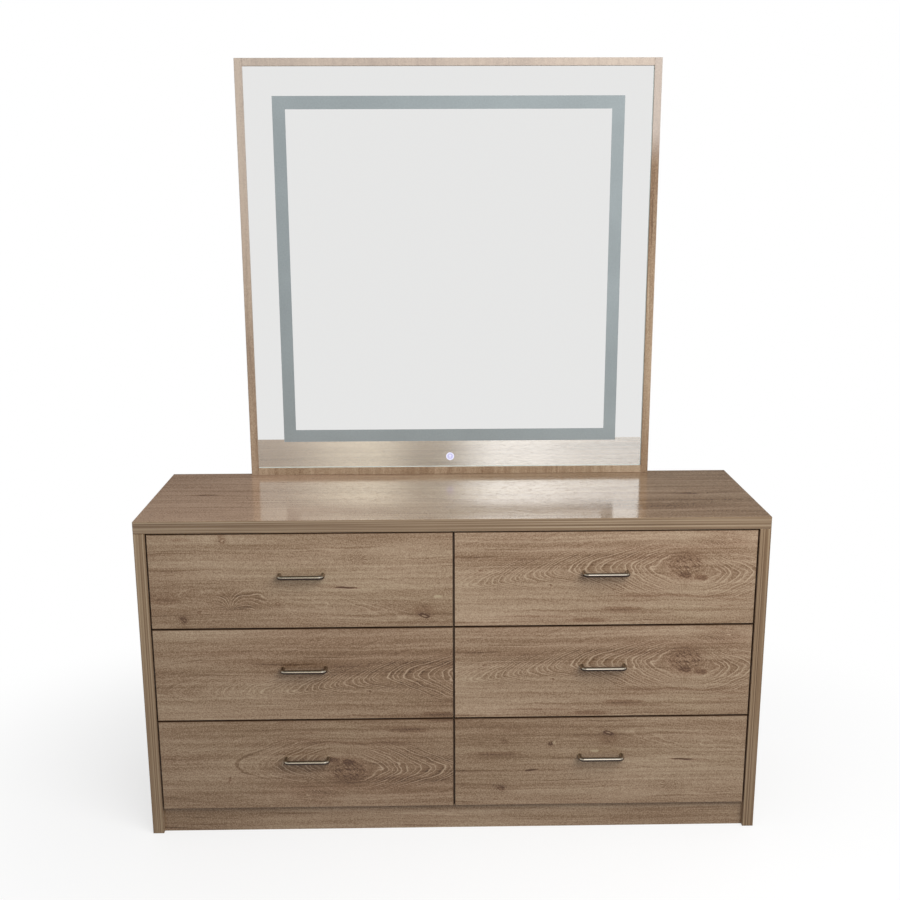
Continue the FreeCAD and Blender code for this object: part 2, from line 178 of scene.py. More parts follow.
class StageSettings(bpy.types.PropertyGroup):
    """Light, floor and camera."""

    key_power: FloatProperty(
        name="Key light", description="Power of the soft light in front",
        subtype="POWER", unit="POWER", default=80.0, min=0, max=1000)
    ambient: FloatProperty(
        name="Ambient", description="Even light from all round", default=0.53, min=0, max=3)
    lens: FloatProperty(
        name="Lens", description="Focal length on a 36 mm wide sensor",
        subtype="DISTANCE_CAMERA", unit="CAMERA", default=45.596, min=10, max=200)
    floor: FloatVectorProperty(
        name="Floor", description="Colour of the floor",
        subtype="COLOR", default=(0.94, 0.94, 0.94), min=0, max=1)


def settings(group):
    """The scene's values of one settings group."""
    return getattr(bpy.context.scene, "dresser_" + group)


# ---------------------------------------------------------------- shader helpers


def solid(colour):
    """A colour's three parts, fully opaque."""
    return tuple(colour) + (1.0,)


class Graph:
    """Adds nodes to one tree. Each method takes sockets or plain values and gives the new output."""

    def __init__(self, tree):
        self.tree = tree

    def add(self, kind, inputs=(), **options):
        node = self.tree.nodes.new("ShaderNode" + kind)
        for name, value in options.items():
            setattr(node, name, value)
        for name, value in dict(inputs).items():
            self.put(node.inputs[name], value)
        return node

    def put(self, socket, value):
        if isinstance(value, bpy.types.NodeSocket):
            self.tree.links.new(value, socket)
        else:
            socket.default_value = value

    def math(self, operation, *values, clamp=False):
        return self.add("Math", enumerate(values), operation=operation, use_clamp=clamp).outputs[0]

    def total(self, first, *terms):
        """first plus each (value, weight)."""
        for value, weight in terms:
            first = self.math("MULTIPLY_ADD", value, weight, first)
        return first

    def vector(self, operation, *values):
        node = self.add("VectorMath", enumerate(values), operation=operation)
        return node.outputs["Value" if operation == "LENGTH" else "Vector"]

    def combine(self, x, y, z=0.0):
        return self.add("CombineXYZ", {"X": x, "Y": y, "Z": z}).outputs[0]

    def separate(self, vector):
        return self.add("SeparateXYZ", {"Vector": vector}).outputs[:3]

    def step(self, value, low, high, start=0.0, end=1.0):
        """A smooth change from start to end as value goes from low to high."""
        inputs = {"Value": value, "From Min": low, "From Max": high, "To Min": start, "To Max": end}
        return self.add("MapRange", inputs, interpolation_type="SMOOTHSTEP").outputs[0]

    def fall(self, value, low, high):
        """One up to low, then smoothly down to zero at high."""
        return self.step(value, low, high, 1.0, 0.0)

    def mix(self, factor, first, second):
        return self.add("Mix", {0: factor, 2: first, 3: second}, data_type="FLOAT").outputs[0]

    def mix_vector(self, factor, first, second):
        return self.add("Mix", {0: factor, 4: first, 5: second}, data_type="VECTOR").outputs[1]

    def mix_colour(self, factor, first, second, blend="MIX"):
        node = self.add("Mix", {0: factor, 6: first, 7: second}, data_type="RGBA", blend_type=blend)
        return node.outputs[2]

    def tinted(self, colour, amount):
        """A colour made darker or paler by an amount near one."""
        return self.mix_colour(1.0, solid(colour), self.combine(amount, amount, amount), "MULTIPLY")

    def noise(self, vector, detail=2.0, roughness=0.5):
        """Noise about zero, from about -0.5 to 0.5, that changes about once in a unit of length."""
        inputs = {"Vector": vector, "Scale": 1.0, "Detail": detail, "Roughness": roughness}
        return self.math("SUBTRACT", self.add("TexNoise", inputs).outputs["Fac"], 0.5)

    def even_noise(self, place, often, detail=2.0, roughness=0.5):
        """Noise that changes equally often in every direction, so many times in a metre."""
        return self.noise(self.vector("MULTIPLY", place, (often, often, often)), detail, roughness)

    def grain(self, along, across, layer, detail=2.0, roughness=0.5):
        """Noise on the sheet. along and across are each (value, changes in a metre)."""
        flat = [self.math("MULTIPLY", value, often) for value, often in (along, across)]
        return self.noise(self.combine(*flat, layer), detail, roughness)

    def ramp(self, factor, stops, interpolation="LINEAR"):
        """A colour that follows (position, colour) stops."""
        node = self.add("ValToRGB", {"Fac": factor})
        band = node.color_ramp
        band.interpolation = interpolation
        while len(band.elements) < len(stops):
            band.elements.new(0.5)
        for element, (position, colour) in zip(band.elements, stops):
            element.position = position
            element.color = solid(colour)
        return node.outputs["Color"]

    def bump(self, height, strength, distance):
        inputs = {"Height": height, "Strength": strength, "Distance": distance}
        return self.add("Bump", inputs).outputs["Normal"]


def new_material(name, colour):
    """A material with its Principled shader and output, and the graph to add to."""
    material = bpy.data.materials.new(name)
    material.use_nodes = True
    material.node_tree.nodes.clear()
    material.diffuse_color = solid(colour)
    graph = Graph(material.node_tree)
    shader = graph.add("BsdfPrincipled")
    output = graph.add("OutputMaterial")
    graph.put(output.inputs["Surface"], shader.outputs[0])
    return material, graph, shader


def object_place(graph):
    """Each point's place on the object, in metres."""
    return graph.add("TexCoord").outputs["Object"]


def dress(names, material):
    """Gives CAD nodes their material."""
    for name in names:
        slots = NODES[name].data.materials
        slots.clear()
        slots.append(material)


# ---------------------------------------------------------------- oak print

# The rings' reach on the sheet, and the largest ring count and height that the table below may hold.
HEART_FROM, HEART_TO = -1.0, 6.0
HEART_DEPTH, HEART_SWING = 0.4, 0.4
# How a ring spreads: at its rounded point, the radius of that point, and along its arms.
POINT_SPREAD, POINT_ROUND, ARM_SPREAD = 0.42, 0.011, 8.0
# The sheet's rings: place along it, how far the ring count has come, the height of the rings' points
# on the sheet and how strongly they show. Where the count turns back, the rings close in ovals.
HEART = (
    (-1.00, 0.300, -0.040, 0.15), (-0.80, 0.236, -0.038, 0.20), (-0.60, 0.172, -0.042, 0.35),
    (-0.504, 0.145, -0.038, 0.65), (-0.41, 0.120, -0.028, 0.90), (-0.31, 0.086, -0.012, 1.00),
    (-0.235, 0.062, 0.001, 1.00), (-0.13, 0.034, 0.002, 1.00), (-0.05, 0.010, 0.002, 0.70),
    (-0.02, 0.004, 0.000, 0.12), (0.04, 0.012, -0.010, 0.30), (0.085, 0.024, -0.014, 0.95),
    (0.13, 0.036, -0.013, 0.85), (0.18, 0.050, -0.012, 0.38), (0.26, 0.070, -0.014, 0.15),
    (0.42, 0.110, -0.020, 0.12), (0.80, 0.150, 0.020, 0.20), (2.20, 0.150, 0.060, 0.15),
    (2.70, 0.120, 0.040, 0.22), (3.10, 0.135, -0.020, 0.20), (3.50, 0.125, 0.010, 0.20),
    (4.20, 0.100, 0.100, 0.30), (4.80, 0.130, 0.050, 0.25), (5.30, 0.090, -0.060, 0.30),
    (6.00, 0.140, 0.000, 0.25),
)
# Knots: place along and across the sheet, radius, stretch along the grain, darkness of its rim and
# how strongly rings show round it.
KNOTS = (
    (-0.004, 0.004, 0.012, 2.0, 0.00, 0.3), (3.000, 0.000, 0.0058, 1.1, 0.75, 0.7),
    (2.562, 0.177, 0.006, 1.2, 0.34, 0.8), (2.466, -0.006, 0.009, 1.2, 0.24, 0.6),
    (2.680, 0.026, 0.004, 1.4, 0.34, 0.4), (3.129, 0.022, 0.006, 1.2, 0.34, 0.7),
    (3.246, 0.133, 0.008, 1.4, 0.30, 1.0), (2.856, 0.133, 0.012, 1.5, 0.05, 0.7),
    (4.420, 0.030, 0.007, 2.2, 0.35, 0.3), (5.560, 0.020, 0.007, 2.4, 0.30, 0.3),
)
# Dark marks: place along and across, half length, half width, darkness; below zero is pale.
MARKS = (
    (3.000, 0.000, 0.0030, 0.0026, -0.75), (3.002, 0.010, 0.022, 0.0160, 0.22),
    (0.264, 0.023, 0.0035, 0.0080, 0.45), (-0.010, 0.006, 0.050, 0.034, 0.26),
    (-0.009, -0.016, 0.016, 0.006, 0.50), (0.027, -0.021, 0.018, 0.006, 0.60),
    (0.055, -0.010, 0.030, 0.020, 0.12), (-0.030, -0.063, 0.150, 0.0030, 0.30),
    (0.100, -0.071, 0.060, 0.0020, 0.22), (0.070, -0.088, 0.050, 0.0018, 0.24),
    (-0.150, -0.094, 0.050, 0.0050, 0.36), (-0.105, -0.104, 0.090, 0.0040, 0.22),
    (-0.110, 0.024, 0.060, 0.0040, 0.16), (-0.225, -0.121, 0.050, 0.0050, 0.34),
    (-0.330, -0.112, 0.090, 0.0026, 0.20), (-0.380, 0.024, 0.090, 0.0030, 0.18),
    (0.060, 0.060, 0.070, 0.030, 0.10), (-0.462, -0.002, 0.004, 0.003, 0.40),
    (-0.306, -0.040, 0.004, 0.003, 0.40), (-0.060, 0.046, 0.120, 0.0060, 0.15),
    (2.826, 0.068, 0.028, 0.0024, 1.10), (2.800, 0.070, 0.050, 0.0050, 0.16),
    (2.468, 0.180, 0.024, 0.0030, 0.26), (2.430, 0.040, 0.034, 0.0080, 0.16),
    (2.560, 0.187, 0.006, 0.006, 0.24), (2.505, 0.013, 0.006, 0.004, 0.30),
    (2.466, -0.006, 0.010, 0.009, 0.22), (3.238, 0.016, 0.010, 0.006, 0.28),
    (3.175, 0.089, 0.018, 0.0017, 0.80), (3.262, 0.049, 0.060, 0.0050, 0.32),
    (3.246, 0.133, 0.008, 0.006, 0.18), (3.030, 0.044, 0.008, 0.003, -0.80),
    (3.120, 0.020, 0.004, 0.005, -0.50), (3.129, 0.026, 0.006, 0.005, 0.26),
    (4.420, 0.030, 0.050, 0.0040, 0.40), (5.560, 0.020, 0.070, 0.0035, 0.36),
    (5.650, 0.028, 0.050, 0.0030, 0.24),
)
# Where the rings run wild: place along and across, half length, half width.
CURLS = ((0.070, 0.062, 0.070, 0.024),)
# Where a grown-over branch fans the rings out: the fan's foot, the middle of the fan and its half size.
FANS = (((2.571, 0.014), (2.592, 0.040), (0.075, 0.034)), ((2.856, 0.128), (2.860, 0.136), (0.026, 0.014)))
FAN_PITCH, FAN_BEND = 0.0190, 14.0
# Short dark flecks: the oval where they gather, and how they slant, as the parts of their direction
# along the sheet and down it.
FLECKS = (-0.008, 0.004, 0.050, 0.034)
FLECK_ALONG, FLECK_DOWN = 0.82, 0.57
# How pale the print is over one ring's width, from its start to the next ring. The ground is neither
# darkened nor made paler.
RING_LINE = ((0.0, 0.45), (0.11, 1.0), (0.24, 0.45), (0.45, 0.36), (0.88, 0.26), (1.0, 0.45))
RING_GROUND = 0.45


def spot(g, place, along, across, half_length, half_width):
    """How far out a place lies in an oval on the sheet: zero at its middle, one at its edge."""
    scale = (1 / half_length, 1 / half_width, 0.0)
    shift = (-along / half_length, -across / half_width, 0.0)
    return g.vector("LENGTH", g.vector("MULTIPLY_ADD", place, scale, shift))


def oak_sheet():
    """The whole printed sheet as a node group: a place in metres gives tone, tint and relief.

    The ring count is count(along) + spread * sqrt(across^2 + round^2) + arm * across^2, so each ring
    is a rounded point whose arms come to lie along the board. Lines and fibres follow that count.
    """
    oak = settings("oak")
    tree = bpy.data.node_groups.new("oak_sheet", "ShaderNodeTree")
    tree.interface.new_socket("Place", in_out="INPUT", socket_type="NodeSocketVector")
    for name in ("Tone", "Tint", "Relief"):
        tree.interface.new_socket(name, in_out="OUTPUT", socket_type="NodeSocketFloat")
    g = Graph(tree)
    source = tree.nodes.new("NodeGroupInput").outputs[0]
    along, across, deep = g.separate(source)

    # the grain wanders; rings are ragged, most of all where they run wild
    wander = g.grain((along, 2.4), (across, 7.0), deep)
    ripple = g.grain((along, 13.0), (across, 34.0), deep, 1.0)
    place = g.vector("ADD", source, g.combine(0.0, g.total(0.0, (wander, 0.022), (ripple, 0.0045))))
    u, v, _ = g.separate(place)
    ragged_place = g.combine(g.math("MULTIPLY", u, 24.0), g.math("MULTIPLY", v, 62.0), deep)
    ragged = g.add("TexNoise", {"Vector": ragged_place, "Scale": 1.0, "Detail": 1.0, "Roughness": 0.5})
    ragged = g.vector("SUBTRACT", ragged.outputs["Color"], (0.5, 0.5, 0.5))
    frayed = g.vector("MULTIPLY_ADD", ragged, (0.030, 0.008, 0.0), place)
    curl = 0.0
    for oval in CURLS:
        curl = g.math("ADD", curl, g.step(spot(g, place, *oval), 1.0, 0.3))

    # the ring count grows with the distance from the heart
    length = HEART_TO - HEART_FROM
    stops = [((at - HEART_FROM) / length, (depth / HEART_DEPTH, height / HEART_SWING + 0.5, shown))
             for at, depth, height, shown in HEART]
    heart = g.ramp(g.math("DIVIDE", g.math("SUBTRACT", u, HEART_FROM), length), stops, "CARDINAL")
    depth, height, shown = g.add("SeparateColor", {0: heart}).outputs[:3]
    depth = g.math("MULTIPLY", depth, HEART_DEPTH)
    aside = g.math("SUBTRACT", v, g.math("MULTIPLY_ADD", height, HEART_SWING, -HEART_SWING / 2))
    # the arms below the points lie flatter left of the heart, and those above them right of it
    lean = g.step(u, -0.42, -0.14, 1.7, 0.8)
    aside = g.math("MULTIPLY", aside, g.mix(g.math("LESS_THAN", aside, 0.0), 1.0, lean))
    squared = g.math("MULTIPLY", aside, aside)
    pointed = g.math("SQRT", g.math("ADD", squared, POINT_ROUND ** 2))
    distance = g.total(depth, (pointed, POINT_SPREAD), (squared, ARM_SPREAD))

    # rings close round each knot, which has a dark rim and a slightly paler middle
    knot_dark, wild = 0.0, curl
    for at_u, at_v, radius, stretch, dark, rings in KNOTS:
        off = spot(g, frayed, at_u, at_v, radius * stretch, radius)
        swirl = g.step(off, 3.4, 1.0)
        distance = g.mix(swirl, distance, g.math("MULTIPLY", off, radius * 0.75))
        wild = g.math("MAXIMUM", wild, g.math("MULTIPLY", swirl, rings))
        rim = g.math("MULTIPLY_ADD", g.step(off, 0.75, 0.25), -0.2, g.step(off, 1.35, 0.8))
        knot_dark = g.math("MULTIPLY_ADD", rim, dark, knot_dark)
    # in a fan the count follows the direction from its foot, bent by the distance from it
    for foot, centre, half in FANS:
        a, b, _ = g.separate(g.vector("SUBTRACT", place, foot + (0.0,)))
        open_angle = g.math("ARCTAN2", g.math("ABSOLUTE", a), b)
        swing = g.total(open_angle, (g.vector("LENGTH", g.combine(a, b)), -FAN_BEND))
        off = spot(g, frayed, *centre, *half)
        distance = g.mix(g.step(off, 1.05, 0.85), distance, g.math("MULTIPLY", swing, FAN_PITCH))
        wild = g.math("MAXIMUM", wild, g.step(off, 0.90, 0.60))
    # short slanting flecks gather round the heart of the sheet
    off = spot(g, frayed, *FLECKS)
    lengthwise = g.total(0.0, (u, FLECK_ALONG), (v, -FLECK_DOWN))
    sideways = g.total(0.0, (u, FLECK_DOWN), (v, FLECK_ALONG))
    flecks = g.step(g.grain((lengthwise, 75.0), (sideways, 300.0), 53.0, 1.0), -0.02, 0.16)
    knot_dark = g.math("MULTIPLY_ADD", g.math("MULTIPLY", g.step(off, 1.15, 0.3), flecks), 0.42, knot_dark)

    # the ring lines: uneven in width, broken, bold or faint, and strongest near the heart
    uneven = g.noise(g.combine(g.math("MULTIPLY", distance, 95.0), 0.0, deep))
    shake = g.math("MULTIPLY", g.separate(ragged)[2], g.math("MULTIPLY_ADD", curl, 0.030, 0.006))
    turn = g.math("DIVIDE", g.math("ADD", distance, shake), oak.ring)
    turn = g.math("FRACT", g.math("MULTIPLY_ADD", uneven, 2.0, turn))
    line = g.ramp(turn, [(position, (level,) * 3) for position, level in RING_LINE])
    line = g.math("SUBTRACT", g.add("SeparateColor", {0: line}).outputs[0], RING_GROUND)
    near = g.step(g.math("ABSOLUTE", aside), 0.062, 0.030, 0.05, 1.0)
    broken = g.step(g.grain((u, 9.0), (v, 25.0), deep), -0.20, 0.00, 0.60, 1.0)
    strength = g.math("MULTIPLY", g.math("MULTIPLY", shown, near), broken)
    strength = g.math("MAXIMUM", strength, wild)
    bold = g.step(g.grain((distance, 150.0), (u, 4.0), 61.0, 1.0), -0.14, 0.14, 0.50, 1.30)
    figure = g.math("MULTIPLY", g.math("MULTIPLY", line, strength), bold)

    # fibres, streaks, pores and slow changes; those that go by distance draw the rings' contour lines
    def fine_grain(side, along_often, side_often, detail, seed):
        return g.grain((u, along_often), (side, side_often), g.math("ADD", deep, seed), detail, 0.6)

    cloud = fine_grain(v, 1.3, 5.0, 2.0, 3.1)
    patch = fine_grain(v, 4.5, 22.0, 2.0, 5.3)
    streak = fine_grain(v, 2.2, 75.0, 1.0, 7.7)
    reed = fine_grain(v, 1.6, 140.0, 1.0, 19.0)
    contour = fine_grain(distance, 2.2, 95.0, 2.0, 8.3)
    fine = fine_grain(v, 1.8, 260.0, 1.0, 9.1)
    fine_contour = fine_grain(distance, 5.0, 300.0, 2.0, 9.7)
    fibre = fine_grain(v, 12.0, 420.0, 2.0, 11.9)
    speck = fine_grain(v, 400.0, 400.0, 0.0, 13.7)
    pore = g.step(fine_grain(v, 60.0, 420.0, 1.0, 17.3), 0.08, 0.20)
    thread = g.step(fine_grain(distance, 1.8, 110.0, 1.0, 23.0), 0.19, 0.25)
    dark_vein = g.step(fine_grain(v, 3.4, 115.0, 1.0, 27.0), 0.15, 0.27)
    pale_vein = g.step(fine_grain(v, 3.0, 105.0, 1.0, 29.0), 0.15, 0.28)
    warmth = fine_grain(v, 1.4, 6.0, 2.0, 31.0)
    blush = fine_grain(v, 6.0, 40.0, 2.0, 37.0)
    marks = knot_dark
    for at_u, at_v, half_length, half_width, dark in MARKS:
        off = spot(g, frayed, at_u, at_v, half_length * 1.25, half_width * 1.5)
        marks = g.math("MULTIPLY_ADD", g.step(off, 1.0, 0.35), dark, marks)
    tone = g.total(
        0.5, (cloud, 0.72), (patch, 0.22), (streak, 0.42), (reed, 0.26), (contour, 0.20), (fine, 0.18),
        (fine_contour, 0.12), (fibre, 0.08), (speck, 0.55), (pore, -0.05), (thread, -0.24),
        (dark_vein, -0.20), (pale_vein, 0.20), (figure, 0.90), (strength, -0.06), (marks, -0.62))
    tint = g.total(0.5, (warmth, 0.40), (blush, 0.18), (marks, 0.45), (shown, 0.06))
    relief = g.total(0.5, (fibre, 0.5), (pore, -0.6), (figure, 0.3))
    sink = tree.nodes.new("NodeGroupOutput")
    for name, value in (("Tone", tone), ("Tint", tint), ("Relief", relief)):
        g.put(sink.inputs[name], value)


def face_place(g, axes, directions, start, turn=1):
    """Place on the sheet. directions names the board's axes along and across it; turn -1 is half a turn."""
    along, across = (g.math("MULTIPLY_ADD", axes[axis], turn, at) for axis, at in zip(directions, start))
    return g.combine(along, across)


# A face looks along an axis where its normal has more than this along it.
FACING = 0.72
# How much of the grain's contrast the smooth top keeps.
EVEN = 0.9
# Greenish, plain and reddish print, by tint.
TINTS = ((0.15, (0.965, 1.02, 0.95)), (0.5, (1.0, 1.0, 1.0)), (0.85, (1.05, 0.965, 0.985)))
# A pale colour painted on the mirror frame's upper parts as glare.
GLARE_VEIL = (0.62, 0.56, 0.52)
# The dark line round a front's face, partly the edge band's joint and partly painted shade of the gaps
# between the fronts, ends and is full at these distances from the board's edge.
GAP_SHADE_ENDS, GAP_SHADE_FULL = 1.8 * MM, 0.6 * MM


def oak_board(name, faces, edges, roughness, tone=0.0, edge_tone=0.0, fade=None, slope=0.0, joint=None):
    """A printed board. faces say how the sheet lies on the faces that look along Y, Z and X.

    Faces named in edges carry edge band: straight fine lines along their length. fade gives two
    heights and how far the print is mixed at each towards a pale colour, as painted glare. slope is how much
    the tone grows in a metre to the right; such a board also has a more even grain, a little grit, and a
    redder tint to the left.
    joint names a node whose front face has a dark line all round: partly the joint of that band, partly
    painted shade of the gaps between the fronts.
    """
    oak = settings("oak")
    material, g, shader = new_material(name, oak.body)
    coordinates = g.add("TexCoord")
    axes = dict(zip("xyz", g.separate(coordinates.outputs["Object"])))
    towards = g.separate(g.vector("ABSOLUTE", coordinates.outputs["Normal"]))
    is_end = g.math("GREATER_THAN", towards[0], FACING)
    is_flat = g.math("GREATER_THAN", towards[2], FACING)
    front, flat, end = (face_place(g, axes, *face) for face in faces)
    place = g.mix_vector(is_flat, g.mix_vector(is_end, front, end), flat)
    sheet = g.add("Group", node_tree=bpy.data.node_groups["oak_sheet"])
    g.put(sheet.inputs["Place"], place)
    value, tint, relief = (sheet.outputs[key] for key in ("Tone", "Tint", "Relief"))
    if slope:
        grit = g.noise(g.vector("MULTIPLY", place, (260.0, 520.0, 0.0)), 0.0)
        value = g.total(0.5 - 0.5 * EVEN, (value, EVEN), (grit, 0.5), (axes["x"], slope))
        tint = g.math("MULTIPLY_ADD", g.math("MINIMUM", axes["x"], 0.0), -0.9, tint)

    if edges:
        is_front = g.math("SUBTRACT", 1.0, g.math("MAXIMUM", is_end, is_flat))
        masks = {"front": is_front, "flat": is_flat, "end": is_end}
        on_edge = g.math("ADD", *(masks[face] for face in edges))
        u, v, _ = g.separate(place)
        bands = g.grain((u, 0.9), (v, 430.0), 41.0, 0.0)
        thin = g.grain((u, 3.0), (v, 210.0), 43.0, 1.0)
        slow = g.grain((u, 5.0), (v, 12.0), 47.0)
        band = g.total(0.47 + edge_tone, (bands, 0.90), (thin, 0.30), (slow, 0.16))
        value = g.mix(on_edge, value, band)
        tint = g.mix(on_edge, tint, 0.32)
    value = g.math("ADD", value, tone)
    shades = ((0.0, oak.dark), (0.30, oak.deep), (0.52, oak.body), (0.78, oak.pale), (1.0, oak.pale))
    colour = g.mix_colour(0.9, g.ramp(value, shades), g.ramp(tint, TINTS), "MULTIPLY")
    # painted glare: the print is mixed by height towards a pale colour, standing in for a veil of light on
    # the frame
    if fade:
        colour = g.mix_colour(g.step(axes["z"], *fade), colour, solid(GLARE_VEIL))
    # painted shade: a dark line round the front's face darkens the gaps between the fronts; the edge band's
    # joint is part of it
    if joint:
        low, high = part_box(joint)
        reach = []
        for number, axis in ((0, "x"), (2, "z")):
            off = g.math("ABSOLUTE", g.math("SUBTRACT", axes[axis], (low[number] + high[number]) / 2))
            reach.append(g.math("SUBTRACT", (high[number] - low[number]) / 2, off))
        line = g.step(g.math("MINIMUM", *reach), GAP_SHADE_ENDS, GAP_SHADE_FULL, 0.0, 0.92)
        colour = g.mix_colour(line, colour, solid(oak.dark))
    g.put(shader.inputs["Base Color"], colour)
    g.put(shader.inputs["Roughness"], g.math("MULTIPLY_ADD", relief, -0.06, roughness + 0.03, clamp=True))
    g.put(shader.inputs["Normal"], g.bump(relief, 0.35, 0.0004))
    return material


# How the sheet is laid on each drawer front: turn, the mark on the sheet that lies at a spot measured
# from the middle of the front, and how much paler the print is.
FRONT_CUTS = {
    "top_left": (1, (3.0, 0.0), (0.270, -0.083), -0.03),
    "top_right": (1, (0.0, 0.0), (0.187, 0.024), 0.085),
    "middle_left": (1, (0.0, 0.0), (0.455, -0.004), -0.035),
    "middle_right": (1, (0.0, 0.0), (0.196, 0.021), 0.045),
    "bottom_left": (-1, (0.0, 0.0), (0.085, -0.013), -0.03),
    "bottom_right": (-1, (3.0, 0.0), (0.018, 0.070), -0.055),
}
# How the sheet lies on the faces of the other boards that look along Y, Z and X: the board's axes
# along and across it, and the place on the sheet where they start.
LAID = {
    "top": (("xz", (1.3, 4.0)), ("xy", (5.0, 0.03)), ("yz", (1.7, 4.5))),
    "side": (("zx", (0.9, 5.0)), ("yx", (2.0, 5.5)), ("zy", (4.6, 0.05))),
    "plinth": (("xz", (4.9, 0.16)), ("xy", (2.6, 5.0)), ("zy", (2.6, 5.5))),
    "stile": (("zx", (3.7, 1.2)), ("yx", (3.7, 1.6)), ("zy", (3.9, 1.9))),
    "rail": (("zx", (3.3, 2.2)), ("yx", (3.3, 2.6)), ("zy", (3.3, 2.9))),
}
# The other boards: node, print, way the sheet lies, faces with edge band, and looks.
BOARDS = (
    ("top_panel", "oak_top", "top", ("front", "end"), {"tone": 0.05, "edge_tone": -0.12, "slope": -0.17}),
    ("side_panel_left", "oak_side_left", "side", ("front", "flat"), {"tone": -0.03}),
    ("side_panel_right", "oak_side_right", "side", ("front", "flat"), {"tone": -0.13}),
    ("plinth_front", "oak_plinth", "plinth", ("flat", "end"), {"tone": -0.02}),
    # The frame's fade paints pale glare on its upper parts.
    ("mirror_frame_left", "oak_stile_left", "stile", (), {"tone": 0.13, "fade": (0.80, 1.70, 0.04, 0.42)}),
    ("mirror_frame_right", "oak_stile_right", "stile", (), {"tone": 0.04, "fade": (1.50, 1.60, 0.0, 0.52)}),
    ("mirror_frame_top", "oak_rail_top", "rail", (), {"tone": 0.10, "fade": (1.0, 1.1, 0.45, 0.45)}),
    ("mirror_frame_bottom", "oak_rail_bottom", "rail", (), {"tone": 0.13}),
)


class DRESSER_OT_oak_boards(bpy.types.Operator):
    """Printed oak on the fronts, top, sides, plinth and mirror frame"""

    bl_idname = "dresser.oak_boards"
    bl_label = "Oak boards"

    def execute(self, context):
        oak = settings("oak")
        oak_sheet()
        for drawer, (turn, mark, spot_at, tone) in FRONT_CUTS.items():
            node = "drawer_front_" + drawer
            centre = middle(node)
            start = (mark[0] - turn * (centre.x + spot_at[0]), mark[1] - turn * (centre.z + spot_at[1]))
            faces = (("xz", start, turn), ("xy", (1.0, 2.0)), ("zy", (1.0, 3.0)))
            dress([node], oak_board("oak_front_" + drawer, faces, ("flat", "end"), oak.satin,
                                    tone=tone, edge_tone=-0.25, joint=node))
        for node, name, way, edges, looks in BOARDS:
            roughness = oak.top_satin if node == "top_panel" else oak.satin
            dress([node], oak_board(name, LAID[way], edges, roughness, **looks))
        return {"FINISHED"}


# ---------------------------------------------------------------- plain boards


def plain_board(name, along, colour):
    """Board with a plain fine grain along one axis, and a little speckle."""
    material, g, shader = new_material(name, colour)
    often = [6.0 if axis == along else 320.0 for axis in "xyz"]
    place = g.vector("MULTIPLY", object_place(g), often)
    grain = g.noise(place, 3.0, 0.6)
    streaks = g.even_noise(place, 0.16)
    slow = g.even_noise(object_place(g), 5.0)
    g.put(shader.inputs["Base Color"],
          g.tinted(colour, g.total(1.0, (grain, 0.60), (streaks, 0.90), (slow, 0.45))))
    shader.inputs["Roughness"].default_value = 0.5
    g.put(shader.inputs["Normal"], g.bump(grain, 0.25, 0.0003))
    return material


def fibreboard(name, colour, roughness):
    """Pressed fibres: small soft blotches in every direction with short pale threads."""
    material, g, shader = new_material(name, colour)
    place = object_place(g)
    blotch = g.even_noise(place, 60.0, 4.0, 0.65)
    fibre = g.noise(g.vector("MULTIPLY", place, (700.0, 700.0, 240.0)))
    g.put(shader.inputs["Base Color"], g.tinted(colour, g.total(1.0, (blotch, 0.45), (fibre, 0.40))))
    shader.inputs["Roughness"].default_value = roughness
    g.put(shader.inputs["Normal"], g.bump(fibre, 0.3, 0.0003))
    return material


class DRESSER_OT_inner_boards(bpy.types.Operator):
    """Carcass boards, drawer boxes, hardboard, posts and dowels"""

    bl_idname = "dresser.inner_boards"
    bl_label = "Inner boards"

    def execute(self, context):
        body = (0.330, 0.240, 0.165)
        across = plain_board("carcass_across", "x", body)
        upright = plain_board("carcass_upright", "z", body)
        deep = plain_board("carcass_deep", "y", body)
        dress(["bottom_panel", "plinth_rear", "rear_rails"], across)
        dress(["centre_divider", "plinth_brace"] + ["drawer_box_" + drawer for drawer in DRAWERS], deep)
        dress(["mirror_posts"], upright)
        hardboard = fibreboard("hardboard", (0.345, 0.240, 0.152), 0.55)
        dress(["back_panels"] + ["drawer_bottom_" + drawer for drawer in DRAWERS], hardboard)
        dress(["mirror_back_board"], fibreboard("bare_fibreboard", (0.430, 0.320, 0.215), 0.7))
        dress(["case_dowels"], plain_board("beech", "z", (0.52, 0.38, 0.24)))
        return {"FINISHED"}


# ---------------------------------------------------------------- surfaces

# Edges that turn by more than this stay sharp.
SHARP_FROM = math.radians(35)
# A driver's cross: half the width and the length of its arms, as shares of the head's radius, and how
# far up the head the points must lie that it sinks, as a share of its height.
CROSS_HALF, CROSS_LENGTH, CROSS_FROM = 0.13, 0.62, 0.3


def grid_faces(rows, columns):
    """Corner numbers of the quads of a grid whose columns close in a ring."""
    first = np.arange(rows - 1)[:, None] * columns
    here = np.arange(columns)[None, :]
    beside = (here + 1) % columns
    corners = (first + here, first + beside, first + columns + beside, first + columns + here)
    return np.stack(corners, -1).reshape(-1, 4)


def merged(points, faces):
    """Points that coincide become one, so poles close, and quads that lose a side become triangles."""
    _, keep, renumber = np.unique(np.round(points, 8), axis=0, return_index=True, return_inverse=True)
    points, faces = points[keep], renumber.reshape(-1)[faces]
    start_shut = faces[:, 0] == faces[:, 1]
    end_shut = faces[:, 2] == faces[:, 3]
    quads = faces[~start_shut & ~end_shut]
    start_only, end_only = start_shut & ~end_shut, end_shut & ~start_shut
    triangles = np.concatenate([faces[start_only][:, [0, 2, 3]], faces[end_only][:, :3]])
    return points, quads, triangles


def volume(points, quads, triangles):
    """Signed volume of a closed surface: positive where its faces look outwards."""
    fans = np.concatenate([triangles, quads[:, [0, 1, 2]], quads[:, [0, 2, 3]]])
    a, b, c = (points[fans[:, corner]] for corner in range(3))
    return float(np.einsum("ij,ij->i", a, np.cross(b, c)).sum()) / 6


